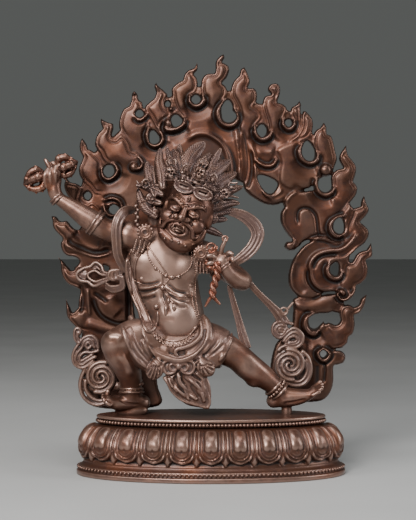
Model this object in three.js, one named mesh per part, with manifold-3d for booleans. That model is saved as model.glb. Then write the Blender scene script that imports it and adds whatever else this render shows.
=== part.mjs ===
// A small cast copper statue: a stout wrathful guardian in a striding stance, with a flame
// aureole behind, both standing on an oval lotus base. Millimetres, +Z up. +X is to the
// right of someone facing the statue and -Y is the front. The origin is the middle of the
// base's underside.
import * as THREE from "three";
import { mergeVertices } from "three/addons/utils/BufferGeometryUtils.js";
import Module from "manifold-3d";

const wasm = await Module();
wasm.setup();

// Driving dimensions of the base
const BASE = { halfWidth: 36.5, halfDepth: 18, top: 16 };
const DECK = { halfWidth: 31, halfDepth: 12.5, under: 14.2, rim: 0.5 };
const PETALS = 22;
const PETAL = { top: 13, tip: 4.4, halfWidth: 3.7, swell: 1.9, proud: 0.2 };

// Driving dimensions of the aureole, an openwork plate behind the figure
const PLATE_Y = 8;
const PLATE_HALF = 1.4;
const RING_SWEEP = 230;
const FRONT = new THREE.Vector3(0, -1, 0);

// Facets finer than this are merged when a solid is finished.
const FINEST = 0.15;

const COPPER = { color: 0x6b4234, roughness: 0.42, metalness: 0.9 };

// Solids

function solid(geometry) {
  const bare = geometry.index ? geometry.toNonIndexed() : geometry.clone();
  bare.deleteAttribute("normal");
  bare.deleteAttribute("uv");
  const merged = mergeVertices(bare, 1e-4);
  return new wasm.Manifold(
    new wasm.Mesh({
      numProp: 3,
      vertProperties: merged.attributes.position.array,
      triVerts: new Uint32Array(merged.index.array),
    }),
  );
}

const union = (parts) => parts.reduce((all, part) => all.add(part));

function piece(name, shape) {
  const made = shape.simplify(FINEST).getMesh();
  const geometry = new THREE.BufferGeometry();
  geometry.setAttribute("position", new THREE.BufferAttribute(made.vertProperties, 3));
  geometry.setIndex(new THREE.BufferAttribute(made.triVerts, 1));
  geometry.computeVertexNormals();
  const mesh = new THREE.Mesh(geometry, new THREE.MeshStandardMaterial(COPPER));
  mesh.name = name;
  return mesh;
}

// A value read from a list spread evenly over t = 0 to 1.
function along(list, t) {
  const place = t * (list.length - 1);
  const i = Math.min(Math.floor(place), list.length - 2);
  return THREE.MathUtils.lerp(list[i], list[i + 1], place - i);
}

// A closed bar along a smooth curve. Each row has its place on the curve from 0 to 1, a
// half-width in the picture plane, a half-depth towards the front, and how far the two
// edges run ahead of the row.
function sweep(points, rows, { sides = 4, face = FRONT, square = false } = {}) {
  const spine = points.map((p) => new THREE.Vector3(...p));
  const curve = new THREE.CatmullRomCurve3(spine, false, "centripetal");
  const length = curve.getLength();
  const bar = new THREE.CylinderGeometry(1, 1, 1, sides, rows.length - 1);
  if (square) bar.rotateY(Math.PI / 4).scale(Math.SQRT2, 1, Math.SQRT2);
  const spot = bar.attributes.position;
  for (let i = 0; i < spot.count; i++) {
    const row = Math.round((spot.getY(i) + 0.5) * (rows.length - 1));
    const [t, wide, deep, lead] = rows[row];
    const tangent = curve.getTangent(t);
    const depth = face.clone().addScaledVector(tangent, -face.dot(tangent)).normalize();
    const side = new THREE.Vector3().crossVectors(tangent, depth);
    const at = curve.getPoint(t)
      .addScaledVector(side, spot.getX(i) * wide)
      .addScaledVector(depth, spot.getZ(i) * deep)
      .addScaledVector(tangent, Math.abs(spot.getX(i)) * lead * length);
    spot.setXYZ(i, at.x, at.y, at.z);
  }
  return solid(bar);
}

// A bar whose half-width and half-depth are lists of sizes spread evenly along it.
function bar(points, wide, deep = wide, { steps = points.length, ...rest } = {}) {
  const rows = Array.from({ length: steps + 1 }, (_, i) => [
    i / steps, along(wide, i / steps), along(deep, i / steps), 0]);
  return sweep(points, rows, rest);
}

// An ellipsoid, rolled in the picture plane by a number of degrees.
function blob([x, y, z], [rx, ry, rz], { roll = 0, across = 6, down = 4 } = {}) {
  const ball = new THREE.SphereGeometry(1, across, down);
  ball.rotateX(Math.PI / 2);
  ball.scale(rx, ry, rz);
  ball.rotateY(THREE.MathUtils.degToRad(roll));
  ball.translate(x, y, z);
  return solid(ball);
}

// An upright oval post between two heights.
function post([x, y], [halfWidth, halfDepth], from, to, sides = 12) {
  const shaft = new THREE.CylinderGeometry(1, 1, to - from, sides);
  shaft.rotateX(Math.PI / 2);
  shaft.scale(halfWidth, halfDepth, 1);
  shaft.translate(x, y, (from + to) / 2);
  return solid(shaft);
}

// Lotus base

// The turned body: each row is a height and how far the oval shrinks there from the rim.
const BASE_PROFILE = [[0, 0.3], [0.5, 0], [2, 0], [3.4, 2.4], [12, 4.4], [13.4, 7.2]];

function baseBody() {
  const inset = BASE.halfWidth - DECK.halfWidth;
  const rows = [...BASE_PROFILE, [DECK.under, inset], [DECK.under + 0.5, inset - DECK.rim],
    [BASE.top - 0.4, inset - DECK.rim], [BASE.top, inset]];
  const edge = rows.map(([height, shrink]) => new THREE.Vector2(BASE.halfWidth - shrink, height));
  const profile = [new THREE.Vector2(0, 0), ...edge, new THREE.Vector2(0, BASE.top)];
  const turned = new THREE.LatheGeometry(profile, 24);
  turned.rotateX(Math.PI / 2);
  const spot = turned.attributes.position;
  for (let i = 0; i < spot.count; i++) {
    const radius = Math.hypot(spot.getX(i), spot.getY(i));
    const depth = radius - (BASE.halfWidth - BASE.halfDepth);
    spot.setY(i, radius > 1e-6 ? (spot.getY(i) / radius) * depth : 0);
  }
  return solid(turned);
}

// One hanging petal at a share of the way round the oval.
function petal(share) {
  const { top, tip, halfWidth, swell, proud } = PETAL;
  const turn = [-Math.PI / 2, 1.5 * Math.PI];
  const oval = new THREE.EllipseCurve(0, 0, BASE.halfWidth - 2.2, BASE.halfDepth - 2.2, ...turn);
  const { x, y } = oval.getPointAt(share);
  const slope = oval.getTangentAt(share);
  const out = new THREE.Vector3(slope.y, -slope.x, 0);
  const lean = (far, height) => [x + out.x * far, y + out.y * far, height];
  const middle = (top + tip) / 2;
  const path = [lean(proud - 2.4, top), lean(proud, middle + 1), lean(proud, middle - 2),
    lean(proud - 0.6, tip)];
  const wide = [0.55, 0.95, 1, 0.85, 0.3].map((s) => s * halfWidth);
  const deep = [0.5, 1, 1, 0.8, 0.25].map((s) => s * swell);
  return bar(path, wide, deep, { face: out, steps: 3, sides: 4 });
}

function lotusBase() {
  const petals = Array.from({ length: PETALS }, (_, i) => petal(i / PETALS));
  return union([baseBody(), ...petals]);
}

// Flame aureole

// The outline of every flame, root to tip: place, share of the widest half-width, lead.
const FLAME_ROWS = [[0, 0.7, 0], [0.3, 1, 0], [0.6, 0.76, 0.06], [0.66, 0.36, 0],
  [0.84, 0.3, 0], [1, 0.05, 0]];

// Each flame: its widest half-width, then the points that its middle passes.
const FLAMES = [
  [2.4, [-29.5, 68], [-33.5, 72], [-37, 76], [-40, 79.5]],
  [2.7, [-32.5, 61.5], [-38.5, 64], [-41.5, 66.5], [-43.5, 69.5]],
  [2.7, [-29.5, 47.5], [-35.5, 51.5], [-39.5, 55], [-42.5, 58.5]],
  [3.4, [-25, 39.5], [-31.5, 39.5], [-37, 42], [-40, 47]],
  [3.3, [-28.5, 76], [-32.5, 81], [-33.5, 85.5], [-35.5, 91]],
  [4.8, [-22.5, 79.5], [-26, 85.5], [-28, 90.5], [-28.5, 93.5], [-30.5, 96.5]],
  [4.3, [-19, 84], [-20.5, 91], [-21, 96.5], [-20.5, 101], [-21, 104]],
  [2.9, [-14, 87.5], [-14, 93.5], [-14.5, 98.5], [-14, 103], [-15, 106.5]],
  [4.1, [-4, 91], [-6.5, 98], [-7, 103], [-6, 108], [-4, 112]],
  [3.8, [0.5, 92.5], [0.5, 99.5], [0, 104.5], [2.5, 108.5], [2, 112.5], [3.5, 115]],
  [4, [11, 88], [10, 95], [9, 101], [9, 105], [9.5, 108], [9, 110.5]],
  [3.6, [16.5, 88], [17, 94], [17, 99.5], [17.5, 103], [17.5, 106.5]],
  [1.9, [21, 88], [24.5, 93.5], [23.5, 97.5], [24.5, 101.5]],
  [1.7, [18, 83.5], [22.5, 88.5], [26.5, 93], [26.5, 96], [25.5, 98.5]],
  [3.2, [31.5, 81], [31.5, 87.5], [31, 92], [31, 96]],
  [3.8, [31.5, 70.5], [36, 76], [37, 81.5], [37, 85.5], [37, 89.5]],
  [1.9, [24.5, 49], [24, 56], [28, 61], [35, 62], [40, 68], [41.5, 72], [42, 75.5]],
  [1.7, [33, 49], [28.5, 53], [29.5, 57], [35.5, 59.5], [41, 62.5], [43, 67]],
  [3.3, [35, 49], [39, 53.5], [41.5, 57], [43.5, 60], [44, 62.5]],
  [4.6, [26, 34], [33, 37], [38, 41], [40.5, 44.5], [43, 48]],
];

// The broad bands that carry the flames: half-widths, then the points passed.
const BANDS = [
  [[8.5, 9.2, 9.3, 8.2, 7.8, 9.8, 6.5],
    [-24, 18.5], [-24.5, 23.5], [-27.5, 33], [-31, 40.5], [-30, 49.5], [-31.5, 60.5], [-27.5, 69.5]],
  [[9.5, 7, 7.5, 8, 8.5, 8, 6],
    [-31, 63.5], [-26.5, 71], [-22, 77.5], [-14.5, 84.5], [-6.5, 89], [1.5, 90.5], [9, 88]],
  [[5, 5.2, 4.9, 3.8, 3.5], [9.5, 92], [12, 83.5], [14.5, 77.5], [20.5, 76.5], [26.5, 78]],
  [[6.5, 6, 4.6, 3.8], [15, 88], [22, 83], [28, 80.5], [34, 77]],
  [[3.6, 3.3, 3.1, 2.6, 1.6], [33.5, 73.5], [26, 74.5], [22, 70], [22.5, 65.5], [25, 62.5]],
  [[6, 7.2, 5.8, 7.7, 6, 5.6, 6.5],
    [29, 74.5], [28.5, 67], [31.5, 60.5], [29, 53.5], [29, 45.5], [30, 39.5], [26, 33.5]],
  [[6, 8, 8.2, 7.6], [28, 38.5], [26, 32.5], [25, 24.5], [23.5, 18.5]],
  [[1.5, 1.8, 1.9, 1], [29, 32.5], [33, 32], [35.5, 31.5], [36, 30]],
];

// Raised coils: middle, and radius of the outer turn.
const COILS = [
  [[-21, 83], 2.2],
  [[22, 62], 2],
  [[36, 48.5], 1.9],
  [[31.5, 82.5], 1.7],
  [[-11.5, 94.5], 1.8],
];

// Eyes, the holes between the flames: middle, half-width, half-height, and the direction
// in degrees that the ring round each one opens towards.
const EYES = [
  [[-34, 75.5], 1, 1.1, 100],
  [[-26.5, 72], 1.5, 1.3, 130],
  [[-28, 82.5], 1.4, 1.5, 130],
  [[-19.5, 98], 1, 1, 60],
  [[-15.5, 91.5], 1.2, 1.6, 90],
  [[-9.5, 96.5], 1.4, 1.5, 80],
  [[-4, 102], 1.2, 1.2, 90],
  [[4.5, 98.5], 1.9, 2.9, 90],
  [[14, 93.5], 1.6, 1.8, 90],
  [[21, 95.5], 1, 1.1, 90],
  [[26.5, 88], 1.7, 2.4, 80],
  [[31.5, 78.5], 1.7, 1.6, 90],
  [[35, 67], 1.5, 1.9, 30],
  [[34, 55.5], 1.4, 1.9, 60],
  [[29, 40.5], 2.1, 2, 30],
  [[15.5, 78.5], 2.3, 2.3, 100],
  [[31, 31.5], 1, 1, 0],
];

// Feet of the plate, which stand on the deck.
const PLATE_FEET = [[-24, 19.5], [23.5, 19.5]];
const PLATE_FOOT = { halfWidth: 4, rise: 4 };

const inPlate = ([x, z], forward = 0) => [x, PLATE_Y - forward, z];

function flame([halfWidth, ...points], i) {
  const forward = 0.3 + 0.15 * (i % 3);
  const rows = FLAME_ROWS.map(([t, share, lead]) => [
    t, share * halfWidth, 0.4 + 1.1 * Math.sqrt(share), lead]);
  return sweep(points.map((p) => inPlate(p, forward)), rows, { sides: 4 });
}

function band([wide, ...points]) {
  const deep = wide.map(() => PLATE_HALF);
  return bar(points.map((p) => inPlate(p)), wide, deep,
    { sides: 4, square: true, steps: points.length - 1 });
}

function eyeRing([[x, z], halfWidth, halfHeight, opens]) {
  const path = [-1, -0.5, 0, 0.5, 1].map((turn) => {
    const angle = THREE.MathUtils.degToRad(opens + 180 + (turn * RING_SWEEP) / 2);
    const far = [Math.cos(angle) * (halfWidth + 0.5), Math.sin(angle) * (halfHeight + 0.5)];
    return inPlate([x + far[0], z + far[1]], 0.9);
  });
  return bar(path, [0.35, 0.9, 0.9, 0.35], [0.5, 1.1, 1.1, 0.5], { sides: 4, steps: 3 });
}

function eyeHole([[x, z], halfWidth, halfHeight]) {
  const hole = new THREE.CylinderGeometry(halfWidth, halfWidth, 9 * PLATE_HALF, 6);
  hole.scale(1, 1, halfHeight / halfWidth);
  hole.translate(x, PLATE_Y, z);
  return solid(hole);
}

function plateFoot([x, z]) {
  const { halfWidth, rise } = PLATE_FOOT;
  const leg = new THREE.BoxGeometry(2 * halfWidth, 2 * PLATE_HALF, z + rise - BASE.top);
  leg.translate(x, PLATE_Y, (z + rise + BASE.top) / 2);
  return solid(leg);
}

function flameAureole() {
  const plate = union([...BANDS.map(band), ...FLAMES.map(flame)]);
  const pierced = plate.subtract(union(EYES.map(eyeHole)));
  const rings = EYES.filter(([, halfWidth]) => halfWidth > 1.3).map(eyeRing);
  const coils = COILS.map(([p, r]) => blob(inPlate(p, 0.5), [r, 1.5, r], { across: 6, down: 3 }));
  return pierced.add(union([...rings, ...coils, ...PLATE_FEET.map(plateFoot)]));
}

// Figure

// Tips of the hair fan, and the point that every lock springs from.
const HAIR_ROOT = [-6.5, -2, 75];
const HAIR_TIPS = [[-19.5, -1, 78.5], [-17.5, -1, 84.5], [-14, -1, 88], [-12, -1, 89], [-8.5, -1, 89.5],
  [-1.5, -1, 90], [2.5, -1, 88.5], [5, -1, 84.5], [7, -1, 81.5], [8, -1, 77.5], [7.5, -2, 73],
  [3.5, -3, 67.5]];

const SKULL_BEADS = [[-14.5, -5.6, 77], [-7.5, -9, 78.5], [-0.5, -5.6, 77]];

function torso() {
  return union([
    bar([[-8, -0.5, 33], [-8.5, -1, 41], [-11.5, -0.5, 51], [-12.5, -0.5, 60], [-11.5, -1, 64.5]],
      [8, 7.4, 7.4, 9.4, 9.9, 9, 5], [5, 6, 5.6, 5.4, 5.4, 4.6, 3.5], { sides: 8, steps: 6 }),
    blob([-9, -4, 42.5], [7.1, 5.6, 7.6], { across: 8, down: 5 }),
    blob([-17, -3.6, 57.5], [5, 3.2, 4.4], { roll: 20, across: 6 }),
    blob([-7.5, -3.6, 56], [5, 3.2, 4.4], { roll: -20, across: 6 }),
    blob([-9.5, -1, 35], [9.4, 6.2, 5], { across: 8 }),
  ]);
}

function legs() {
  return union([
    bar([[-14.5, -1, 36.5], [-20.5, -4.5, 37.5], [-25.5, -7.5, 36.5]], [5.6, 5.4, 4], [5, 5, 3.8], { sides: 6 }),
    bar([[-26, -7.6, 36.5], [-24.5, -5.5, 31], [-22, -1.5, 24.5], [-21.5, -0.5, 20]],
      [3.5, 3.9, 3.7, 2.8, 2.7], [3.6, 4, 3.8, 2.8, 2.7], { sides: 6 }),
    bar([[-18, 0.5, 19], [-22, -0.5, 19.5], [-26, -2, 19], [-28, -3, 20.5]],
      [1.5, 2.2, 1.7, 1.5, 1], [1.7, 2.4, 2.4, 2.4, 1.6]),
    bar([[-4, -1, 37], [3, -2, 35], [11, -2.5, 30.5]], [5.6, 5.2, 4], [5, 4.8, 4], { sides: 6 }),
    bar([[9.5, -2.5, 31.5], [14.5, -1.5, 27], [20, 0, 21]], [4.1, 4.1, 3.2, 2.2], [4.2, 4.2, 3, 2.2],
      { sides: 6 }),
    bar([[20, 0.6, 19.5], [24.5, 0, 21], [30, -0.6, 23.5]], [2, 1.9, 1.7, 1.1, 0.9], [2, 2.2, 2.3, 2.2, 1.6]),
    post([-22.6, -0.8], [4.6, 1.7], BASE.top, BASE.top + 2.2),
    post([20.9, 0.4], [1.3, 1.3], BASE.top, BASE.top + 3, 8),
  ]);
}

function arms() {
  return union([
    blob([-23.5, -0.5, 65], [3.6, 3.8, 4]),
    bar([[-18.5, -0.5, 64], [-27, -1, 65], [-31.5, -1.5, 67]], [3.7, 3.5, 3.5], [3.6, 3.4, 3.4], { sides: 6 }),
    bar([[-30, -1.5, 68], [-35.5, -1.8, 71], [-42.5, -2, 74.5]], [3.7, 3.3, 2.3, 1.7], [3.5, 3.2, 2.2, 1.7],
      { sides: 6 }),
    bar([[-42.5, -2, 74], [-43, -2.4, 78], [-43, -2.4, 82.5]], [1.7, 2.4, 2.2, 1.4], [1.5, 2.2, 2.4, 1.6]),
    bar([[-2, -0.5, 58.5], [3.5, -1, 56], [8.5, -2, 52.5]], [3.6, 3.4, 3.1], [3.4, 3.2, 3], { sides: 6 }),
    bar([[8, -2, 52.5], [5, -5, 53.5], [2.5, -7, 56]], [3, 2.6, 2.2], [2.8, 2.4, 2], { sides: 6 }),
    blob([2.5, -7, 57.5], [2.9, 2.2, 2.6]),
    bar([[2, -7.5, 58.5], [3, -8, 62], [4, -8, 64]], [0.7, 0.6, 0.45], undefined, { steps: 2 }),
  ]);
}

function sceptre() {
  return union([
    bar([[-50, -2.4, 78.5], [-43.5, -2.4, 81.5], [-36.5, -2.4, 84.5]], [0.3, 2.4, 2.5, 1, 1, 2.4, 2.3, 0.3],
      undefined, { steps: 9 }),
  ]);
}

function head() {
  const locks = HAIR_TIPS.map((tip) => {
    const start = HAIR_ROOT.map((v, i) => THREE.MathUtils.lerp(v, tip[i], 0.4));
    return bar([start, tip], [2.4, 0.3], [1.6, 0.3], { sides: 4, steps: 1 });
  });
  return union([
    blob([-7.5, -4.5, 71], [6.4, 5.6, 8.2], { roll: 15, across: 7, down: 5 }),
    blob([-10, -7, 65], [4.6, 3.6, 3.9], { roll: 15, across: 6 }),
    blob([-5.5, -0.5, 74.5], [10.6, 3.8, 7.6], { roll: -10 }),
    blob([-8, -10.3, 69], [1.4, 1.3, 2], { roll: 15, across: 5, down: 3 }),
    bar([[-14, -6, 75], [-6.5, -9.4, 76.5], [0.5, -5.5, 73]], [1.4, 1.6, 1.4], [1.2, 1.4, 1.2], { sides: 5 }),
    ...locks,
    ...SKULL_BEADS.map((p) => blob(p, [2.2, 1.4, 2.4], { across: 5, down: 3 })),
    blob([-17.5, -5.5, 65.5], [2.3, 1.1, 2.3], { across: 6, down: 3 }),
    blob([-2.5, -6.5, 59.5], [2.3, 1.3, 2.3], { across: 6, down: 3 }),
    bar([[-13.5, -4.5, 66.5], [-17.5, -5.4, 65], [-20, -4, 62]], [1.6, 1.2, 0.7], [1, 0.8], { sides: 4, steps: 2 }),
    bar([[-3, -5.5, 60.5], [-2, -4.5, 52.5]], [1.3, 0.9], [2, 2], { sides: 4, steps: 1 }),
  ]);
}

// The rounded face of a scarf coil: share of its radius, height.
const COIL_ROWS = [[0, -1.1], [0.94, -1.1], [1, 0.4], [0.7, 1.2], [0, 1]];

const SMALL_COIL = [[0, -1.1], [0.9, -1.1], [1, 0.4], [0, 1.2]];

function scarfCoil([x, y, z], radius, rows = COIL_ROWS) {
  const profile = rows.map(([share, height]) => new THREE.Vector2(share * radius, height));
  const coil = new THREE.LatheGeometry(profile, radius > 4 ? 10 : 7);
  coil.rotateX(Math.PI);
  coil.translate(x, y, z);
  return solid(coil);
}

function scarf() {
  return union([
    bar([[6, -1, 69.5], [11, -1, 69], [13, -1, 65], [11.5, -1, 60.5], [5.5, -1.5, 57]],
      [1.2, 1.2, 1.3, 1.3, 1.2], [0.8, 0.9, 0.9], { sides: 4, steps: 6 }),
    bar([[-24.5, -3, 70], [-25.5, -4, 65.5], [-25.5, -3.4, 60.5], [-23.5, -2, 54.5]], [1.2, 1.5, 1.4, 1.2],
      [1.3, 1.3, 1.3], { sides: 5, steps: 5 }),
    bar([[-23.5, -2, 56], [-25.5, -1, 52.5], [-27, 0, 51.5]], [2.2, 2.6, 1.6], [1.6, 1.6, 1.2]),
    bar([[-26, 0.5, 53], [-31, 2.5, 56.5], [-36, 3.4, 55], [-34.5, 3.4, 52], [-31, 2.5, 50.5], [-26, 0.5, 53]],
      [0.9, 1.1, 1.1, 1.1, 0.9], [0.9, 0.9], { sides: 4, steps: 8 }),
    bar([[7.5, -2, 54], [12, 0, 49.5], [16.5, 2, 45], [19.5, 3.2, 38.5]], [1, 1, 1.3, 2], [0.8, 0.8, 1, 1],
      { sides: 5 }),
    bar([[4.5, -1.5, 51.5], [7, -1, 44], [9.5, -1.5, 34.5]], [0.8, 1.1, 1.4], [0.6, 0.7, 0.7], { sides: 5 }),
    bar([[-36.5, 3.4, 39], [-37, 3.6, 36], [-34.5, 3.8, 34]], [0.9, 0.9, 0.9], undefined, { sides: 5 }),
    scarfCoil([-33.5, 3.8, 35], 2.6, SMALL_COIL),
    scarfCoil([-35.5, 3.8, 31], 2.6, SMALL_COIL),
    scarfCoil([-30.5, 3.6, 24.5], 5.7),
    scarfCoil([19, 3.6, 38.5], 2.6, SMALL_COIL),
    scarfCoil([22, 3.6, 36], 2.5, SMALL_COIL),
    scarfCoil([22, 3.4, 29], 5.4),
    bar([[-30, 3.4, 23.5], [-23, 0, 24.5]], [3, 2], [1.2, 1.4], { steps: 1 }),
    bar([[20, 3, 26], [15.5, 0, 27.5]], [2.4, 2.4], [1.2, 1.6], { steps: 1 }),
    bar([[-35.5, 3.8, 31], [-31, 3.6, 26]], [2, 2.4], [1, 1], { steps: 1 }),
    bar([[20, 3.6, 37.5], [22, 3.5, 32.5]], [2, 2.4], [1, 1], { steps: 1 }),
  ]);
}

function garment() {
  return union([
    bar([[-22.5, -2, 41], [-19.5, -6, 36], [-14.5, -7.4, 33], [-8.5, -7.6, 31.5], [-3.5, -7, 33], [-1, -5.6, 37.5],
      [-2, -2.5, 42.5]], [1.2, 1.5, 1.5, 1.4, 1.5, 1.5, 1.1], [1.1, 1.4, 1.2, 1.1, 1.3, 1.3, 1.1],
    { sides: 5, steps: 7 }),
    bar([[-14, -2, 35.5], [-20, -5, 37], [-22, -6.6, 36.5]], [6, 5.8, 4.8], [5.6, 5.4, 4.6], { sides: 6 }),
    bar([[-4, -1.6, 36], [1, -2.2, 35], [4.5, -2.6, 33.5]], [6, 6, 5.4], [5.4, 5.3, 5], { sides: 6 }),
    bar([[-17.5, -7, 33.5], [-15.5, -7.6, 30.5], [-15, -7.6, 26.5]], [2.4, 2.2, 2.4, 1], [1.6, 1.6, 1.3, 0.6]),
    bar([[-2, -6, 32.5], [-1.5, -6.6, 30], [-1.5, -6.6, 27]], [2.4, 2.2, 2.3, 1], [2, 1.6, 1.3, 0.6]),
    bar([[-13, -6.6, 29.5], [-8.5, -7, 30.5], [-4.5, -6.6, 29.5]], [1.4, 0.9, 1.4], [1.2, 1.2], { sides: 4, steps: 2 }),
    bar([[-8.5, -5, 32], [-7, -6, 26.5], [-5.5, -6.2, 22.5], [-1, -6.2, 19]], [2, 4.4, 5.4, 4, 0.8],
      [1.6, 1.2, 0.9, 0.7, 0.5], { steps: 6 }),
    bar([[-22, -5, 50.5], [-19, -6.5, 41.5], [-17, -7, 39], [-14.5, -7.6, 41.5], [-14.5, -7, 46.5]],
      [0.7, 0.8, 0.7], [0.7, 0.7], { sides: 4, steps: 5 }),
  ]);
}

const noose = () => bar([[-1, -8, 57], [1.5, -8.4, 54], [0.5, -8.2, 50], [1.5, -8, 46.5]],
  [1, 1, 0.8, 0.6], undefined, { sides: 5 });

const statue = new THREE.Group();
statue.add(piece("lotus_base", lotusBase()));
statue.add(piece("flame_aureole", flameAureole()));
statue.add(piece("figure", union([torso(), legs(), arms(), sceptre(), head(), scarf(), garment(),
  noose()])));
export default statue;
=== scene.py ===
import math
from contextlib import contextmanager

import bmesh
import bpy
import numpy as np
from mathutils import Matrix, Vector
from mathutils.bvhtree import BVHTree


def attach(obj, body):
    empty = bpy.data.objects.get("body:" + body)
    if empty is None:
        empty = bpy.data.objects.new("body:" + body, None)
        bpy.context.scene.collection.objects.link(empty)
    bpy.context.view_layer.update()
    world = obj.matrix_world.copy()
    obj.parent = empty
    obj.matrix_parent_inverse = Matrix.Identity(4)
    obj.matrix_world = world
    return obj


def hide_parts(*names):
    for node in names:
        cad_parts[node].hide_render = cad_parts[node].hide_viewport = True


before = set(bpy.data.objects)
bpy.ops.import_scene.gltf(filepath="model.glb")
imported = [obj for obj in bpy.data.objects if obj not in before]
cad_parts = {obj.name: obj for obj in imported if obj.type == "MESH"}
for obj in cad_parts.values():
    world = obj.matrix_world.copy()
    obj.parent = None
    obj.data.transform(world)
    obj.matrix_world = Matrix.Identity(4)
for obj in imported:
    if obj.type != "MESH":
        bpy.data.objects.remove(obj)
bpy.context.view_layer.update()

# Everything is shaped in millimetres and scaled to metres when a piece is finished.
# Pairs of numbers are places on the middle plane, y = 0, as the eye sees them.
MM = 0.001
EYE = (-0.8, -400, 67.4)
EYE_TILT = 1.36
LENS = 102.2
SENSOR = 36
FRONT = Vector((0, -1, 0))


# Lines

def smooth(points, step=0.4, closed=False, axes=2):
    """A smooth line through rows of numbers. A row that is written twice makes a corner."""
    rows = [np.array(p, float) for p in points]
    if closed:
        rows = [rows[-1], *rows, rows[0], rows[1]]
    else:
        rows = [2 * rows[0] - rows[1], *rows, 2 * rows[-1] - rows[-2]]
    line = []
    for a, b, c, d in zip(rows, rows[1:], rows[2:], rows[3:]):
        reach = np.linalg.norm((c - b)[:axes])
        if reach < 1e-6:
            continue
        t = np.linspace(0, 1, max(2, int(reach / step) + 1), endpoint=False)[:, None]
        line.append(0.5 * (2 * b + (c - a) * t + (2 * a - 5 * b + 4 * c - d) * t**2
                           + (3 * b - a - 3 * c + d) * t**3))
    return np.vstack([*line, rows[-2]])


def gaps(spots, line):
    """How far each spot is from a line, and how far along the line its nearest point is."""
    near = np.full(len(spots), 1e9)
    share = np.zeros(len(spots))
    for i, (start, run) in enumerate(zip(line, np.diff(line, axis=0))):
        t = ((spots - start) @ run / (run @ run + 1e-12)).clip(0, 1)
        off = spots - start - t[:, None] * run
        gap = np.hypot(off[:, 0], off[:, 1])
        closer = gap < near
        near[closer] = gap[closer]
        share[closer] = (i + t[closer]) / (len(line) - 1)
    return near, share


def inside(spots, line):
    """Whether each spot lies inside a closed line."""
    x, z = spots.T
    within = np.zeros(len(spots), bool)
    for (x0, z0), (x1, z1) in zip(line, np.roll(line, -1, axis=0)):
        level = (z0 > z) != (z1 > z)
        within ^= level & (x < (x1 - x0) * (z - z0) / (z1 - z0 + 1e-12) + x0)
    return within


def ease(value, start, end):
    """0 before start and 1 after end, with a soft step between."""
    t = np.clip((value - start) / (end - start), 0, 1)
    return t * t * (3 - 2 * t)


def tapered(share, taper):
    """1 along the middle of a line, and down to 0 over the taper's share at both ends."""
    return ease(share, 0, taper) * ease(1 - share, 0, taper)


def circle(steps):
    """Places round a circle of radius 1. The last one is the first again."""
    return [(math.cos(a), math.sin(a)) for a in np.linspace(0, 2 * math.pi, steps)]


def spiral(centre, start, end, turns, angle, clockwise=False, steps=40):
    """Points of a coil from its outer radius to its inner one, from an angle in degrees."""
    turn = np.linspace(0, 1, steps)
    way = -1 if clockwise else 1
    a = math.radians(angle) + way * turn * turns * 2 * math.pi
    r = start + (end - start) * turn
    return np.stack([centre[0] + r * np.cos(a), centre[1] + r * np.sin(a)], 1)


def lengths(line):
    """How far along a line each of its points lies."""
    return np.concatenate([[0], np.cumsum(np.linalg.norm(np.diff(line, axis=0), axis=1))])


def ways(spots):
    """The direction of a line at each of its points, and the direction across it."""
    run = np.gradient(spots, axis=0)
    run /= np.linalg.norm(run, axis=1)[:, None]
    side = np.cross(run, (0, -1, 0))
    side /= np.linalg.norm(side, axis=1).clip(1e-6)[:, None]
    return run, side


def sized(line, *sizes):
    """A line's points with half-sizes, each one number or a number for every point."""
    return np.column_stack([line[:, :3], *(np.full(len(line), size) for size in sizes)])


class Relief:
    """Heights over a set of spots, built up stroke by stroke as a chaser works metal."""

    def __init__(self, spots):
        self.spots = spots
        self.order = np.argsort(spots[:, 0])
        self.across = spots[self.order, 0]
        self.height = np.zeros(len(spots))

    def near(self, line, reach):
        low, high = line[:, :2].min(0) - reach, line[:, :2].max(0) + reach
        first, last = np.searchsorted(self.across, (low[0], high[0]))
        some = self.order[first:last]
        z = self.spots[some, 1]
        return some[(z > low[1]) & (z < high[1])]

    def stroke(self, points, wide, high, sharp=1.0, taper=0.0, straight=False):
        """Raises a ridge along a line, or sinks a groove where high is below zero. wide is
        its half-width. taper thins both ends over that share of the line."""
        line = np.array(points, float) if straight else smooth(points)
        some = self.near(line, wide)
        gap, share = gaps(self.spots[some], line[:, :2])
        shape = np.clip(1 - (gap / wide) ** 2, 0, 1) ** sharp
        if taper:
            shape *= tapered(share, taper)
        self.height[some] += high * shape

    def tube(self, points, radius, level, straight=False, taper=0.2):
        """A round cord laid at a level, over whatever lies lower."""
        line = np.array(points, float) if straight else smooth(points)
        some = self.near(line, radius)
        gap, share = gaps(self.spots[some], line[:, :2])
        thick = radius * (1 - (1 - tapered(share, taper)) * 0.6)
        over = gap < thick
        some, gap, thick = some[over], gap[over], thick[over]
        top = level + np.sqrt(np.clip(thick**2 - gap**2, 0, None))
        self.height[some] = np.maximum(self.height[some], top)

    def boss(self, centre, radii, high, level=None, turn=0.0):
        """An oval dome that is added to the height, or set at a level over what lies lower."""
        c, s = math.cos(math.radians(turn)), math.sin(math.radians(turn))
        some = self.near(np.array([centre]), max(radii))
        off = self.spots[some] - centre
        u = (off[:, 0] * c + off[:, 1] * s) / radii[0]
        v = (off[:, 1] * c - off[:, 0] * s) / radii[1]
        dome = np.sqrt(np.clip(1 - u * u - v * v, 0, 1))
        if level is None:
            self.height[some] += high * dome
        else:
            lift = np.where(dome > 0, level + high * dome, -9)
            self.height[some] = np.maximum(self.height[some], lift)


# Solid forms

@contextmanager
def editing(mesh):
    """A mesh as a bmesh that is written back afterwards."""
    bm = bmesh.new()
    bm.from_mesh(mesh)
    yield bm
    bm.to_mesh(mesh)
    bm.free()


def put(name, data):
    """A new object in the scene."""
    made = bpy.data.objects.new(name, data)
    bpy.context.scene.collection.objects.link(made)
    return made


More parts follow.
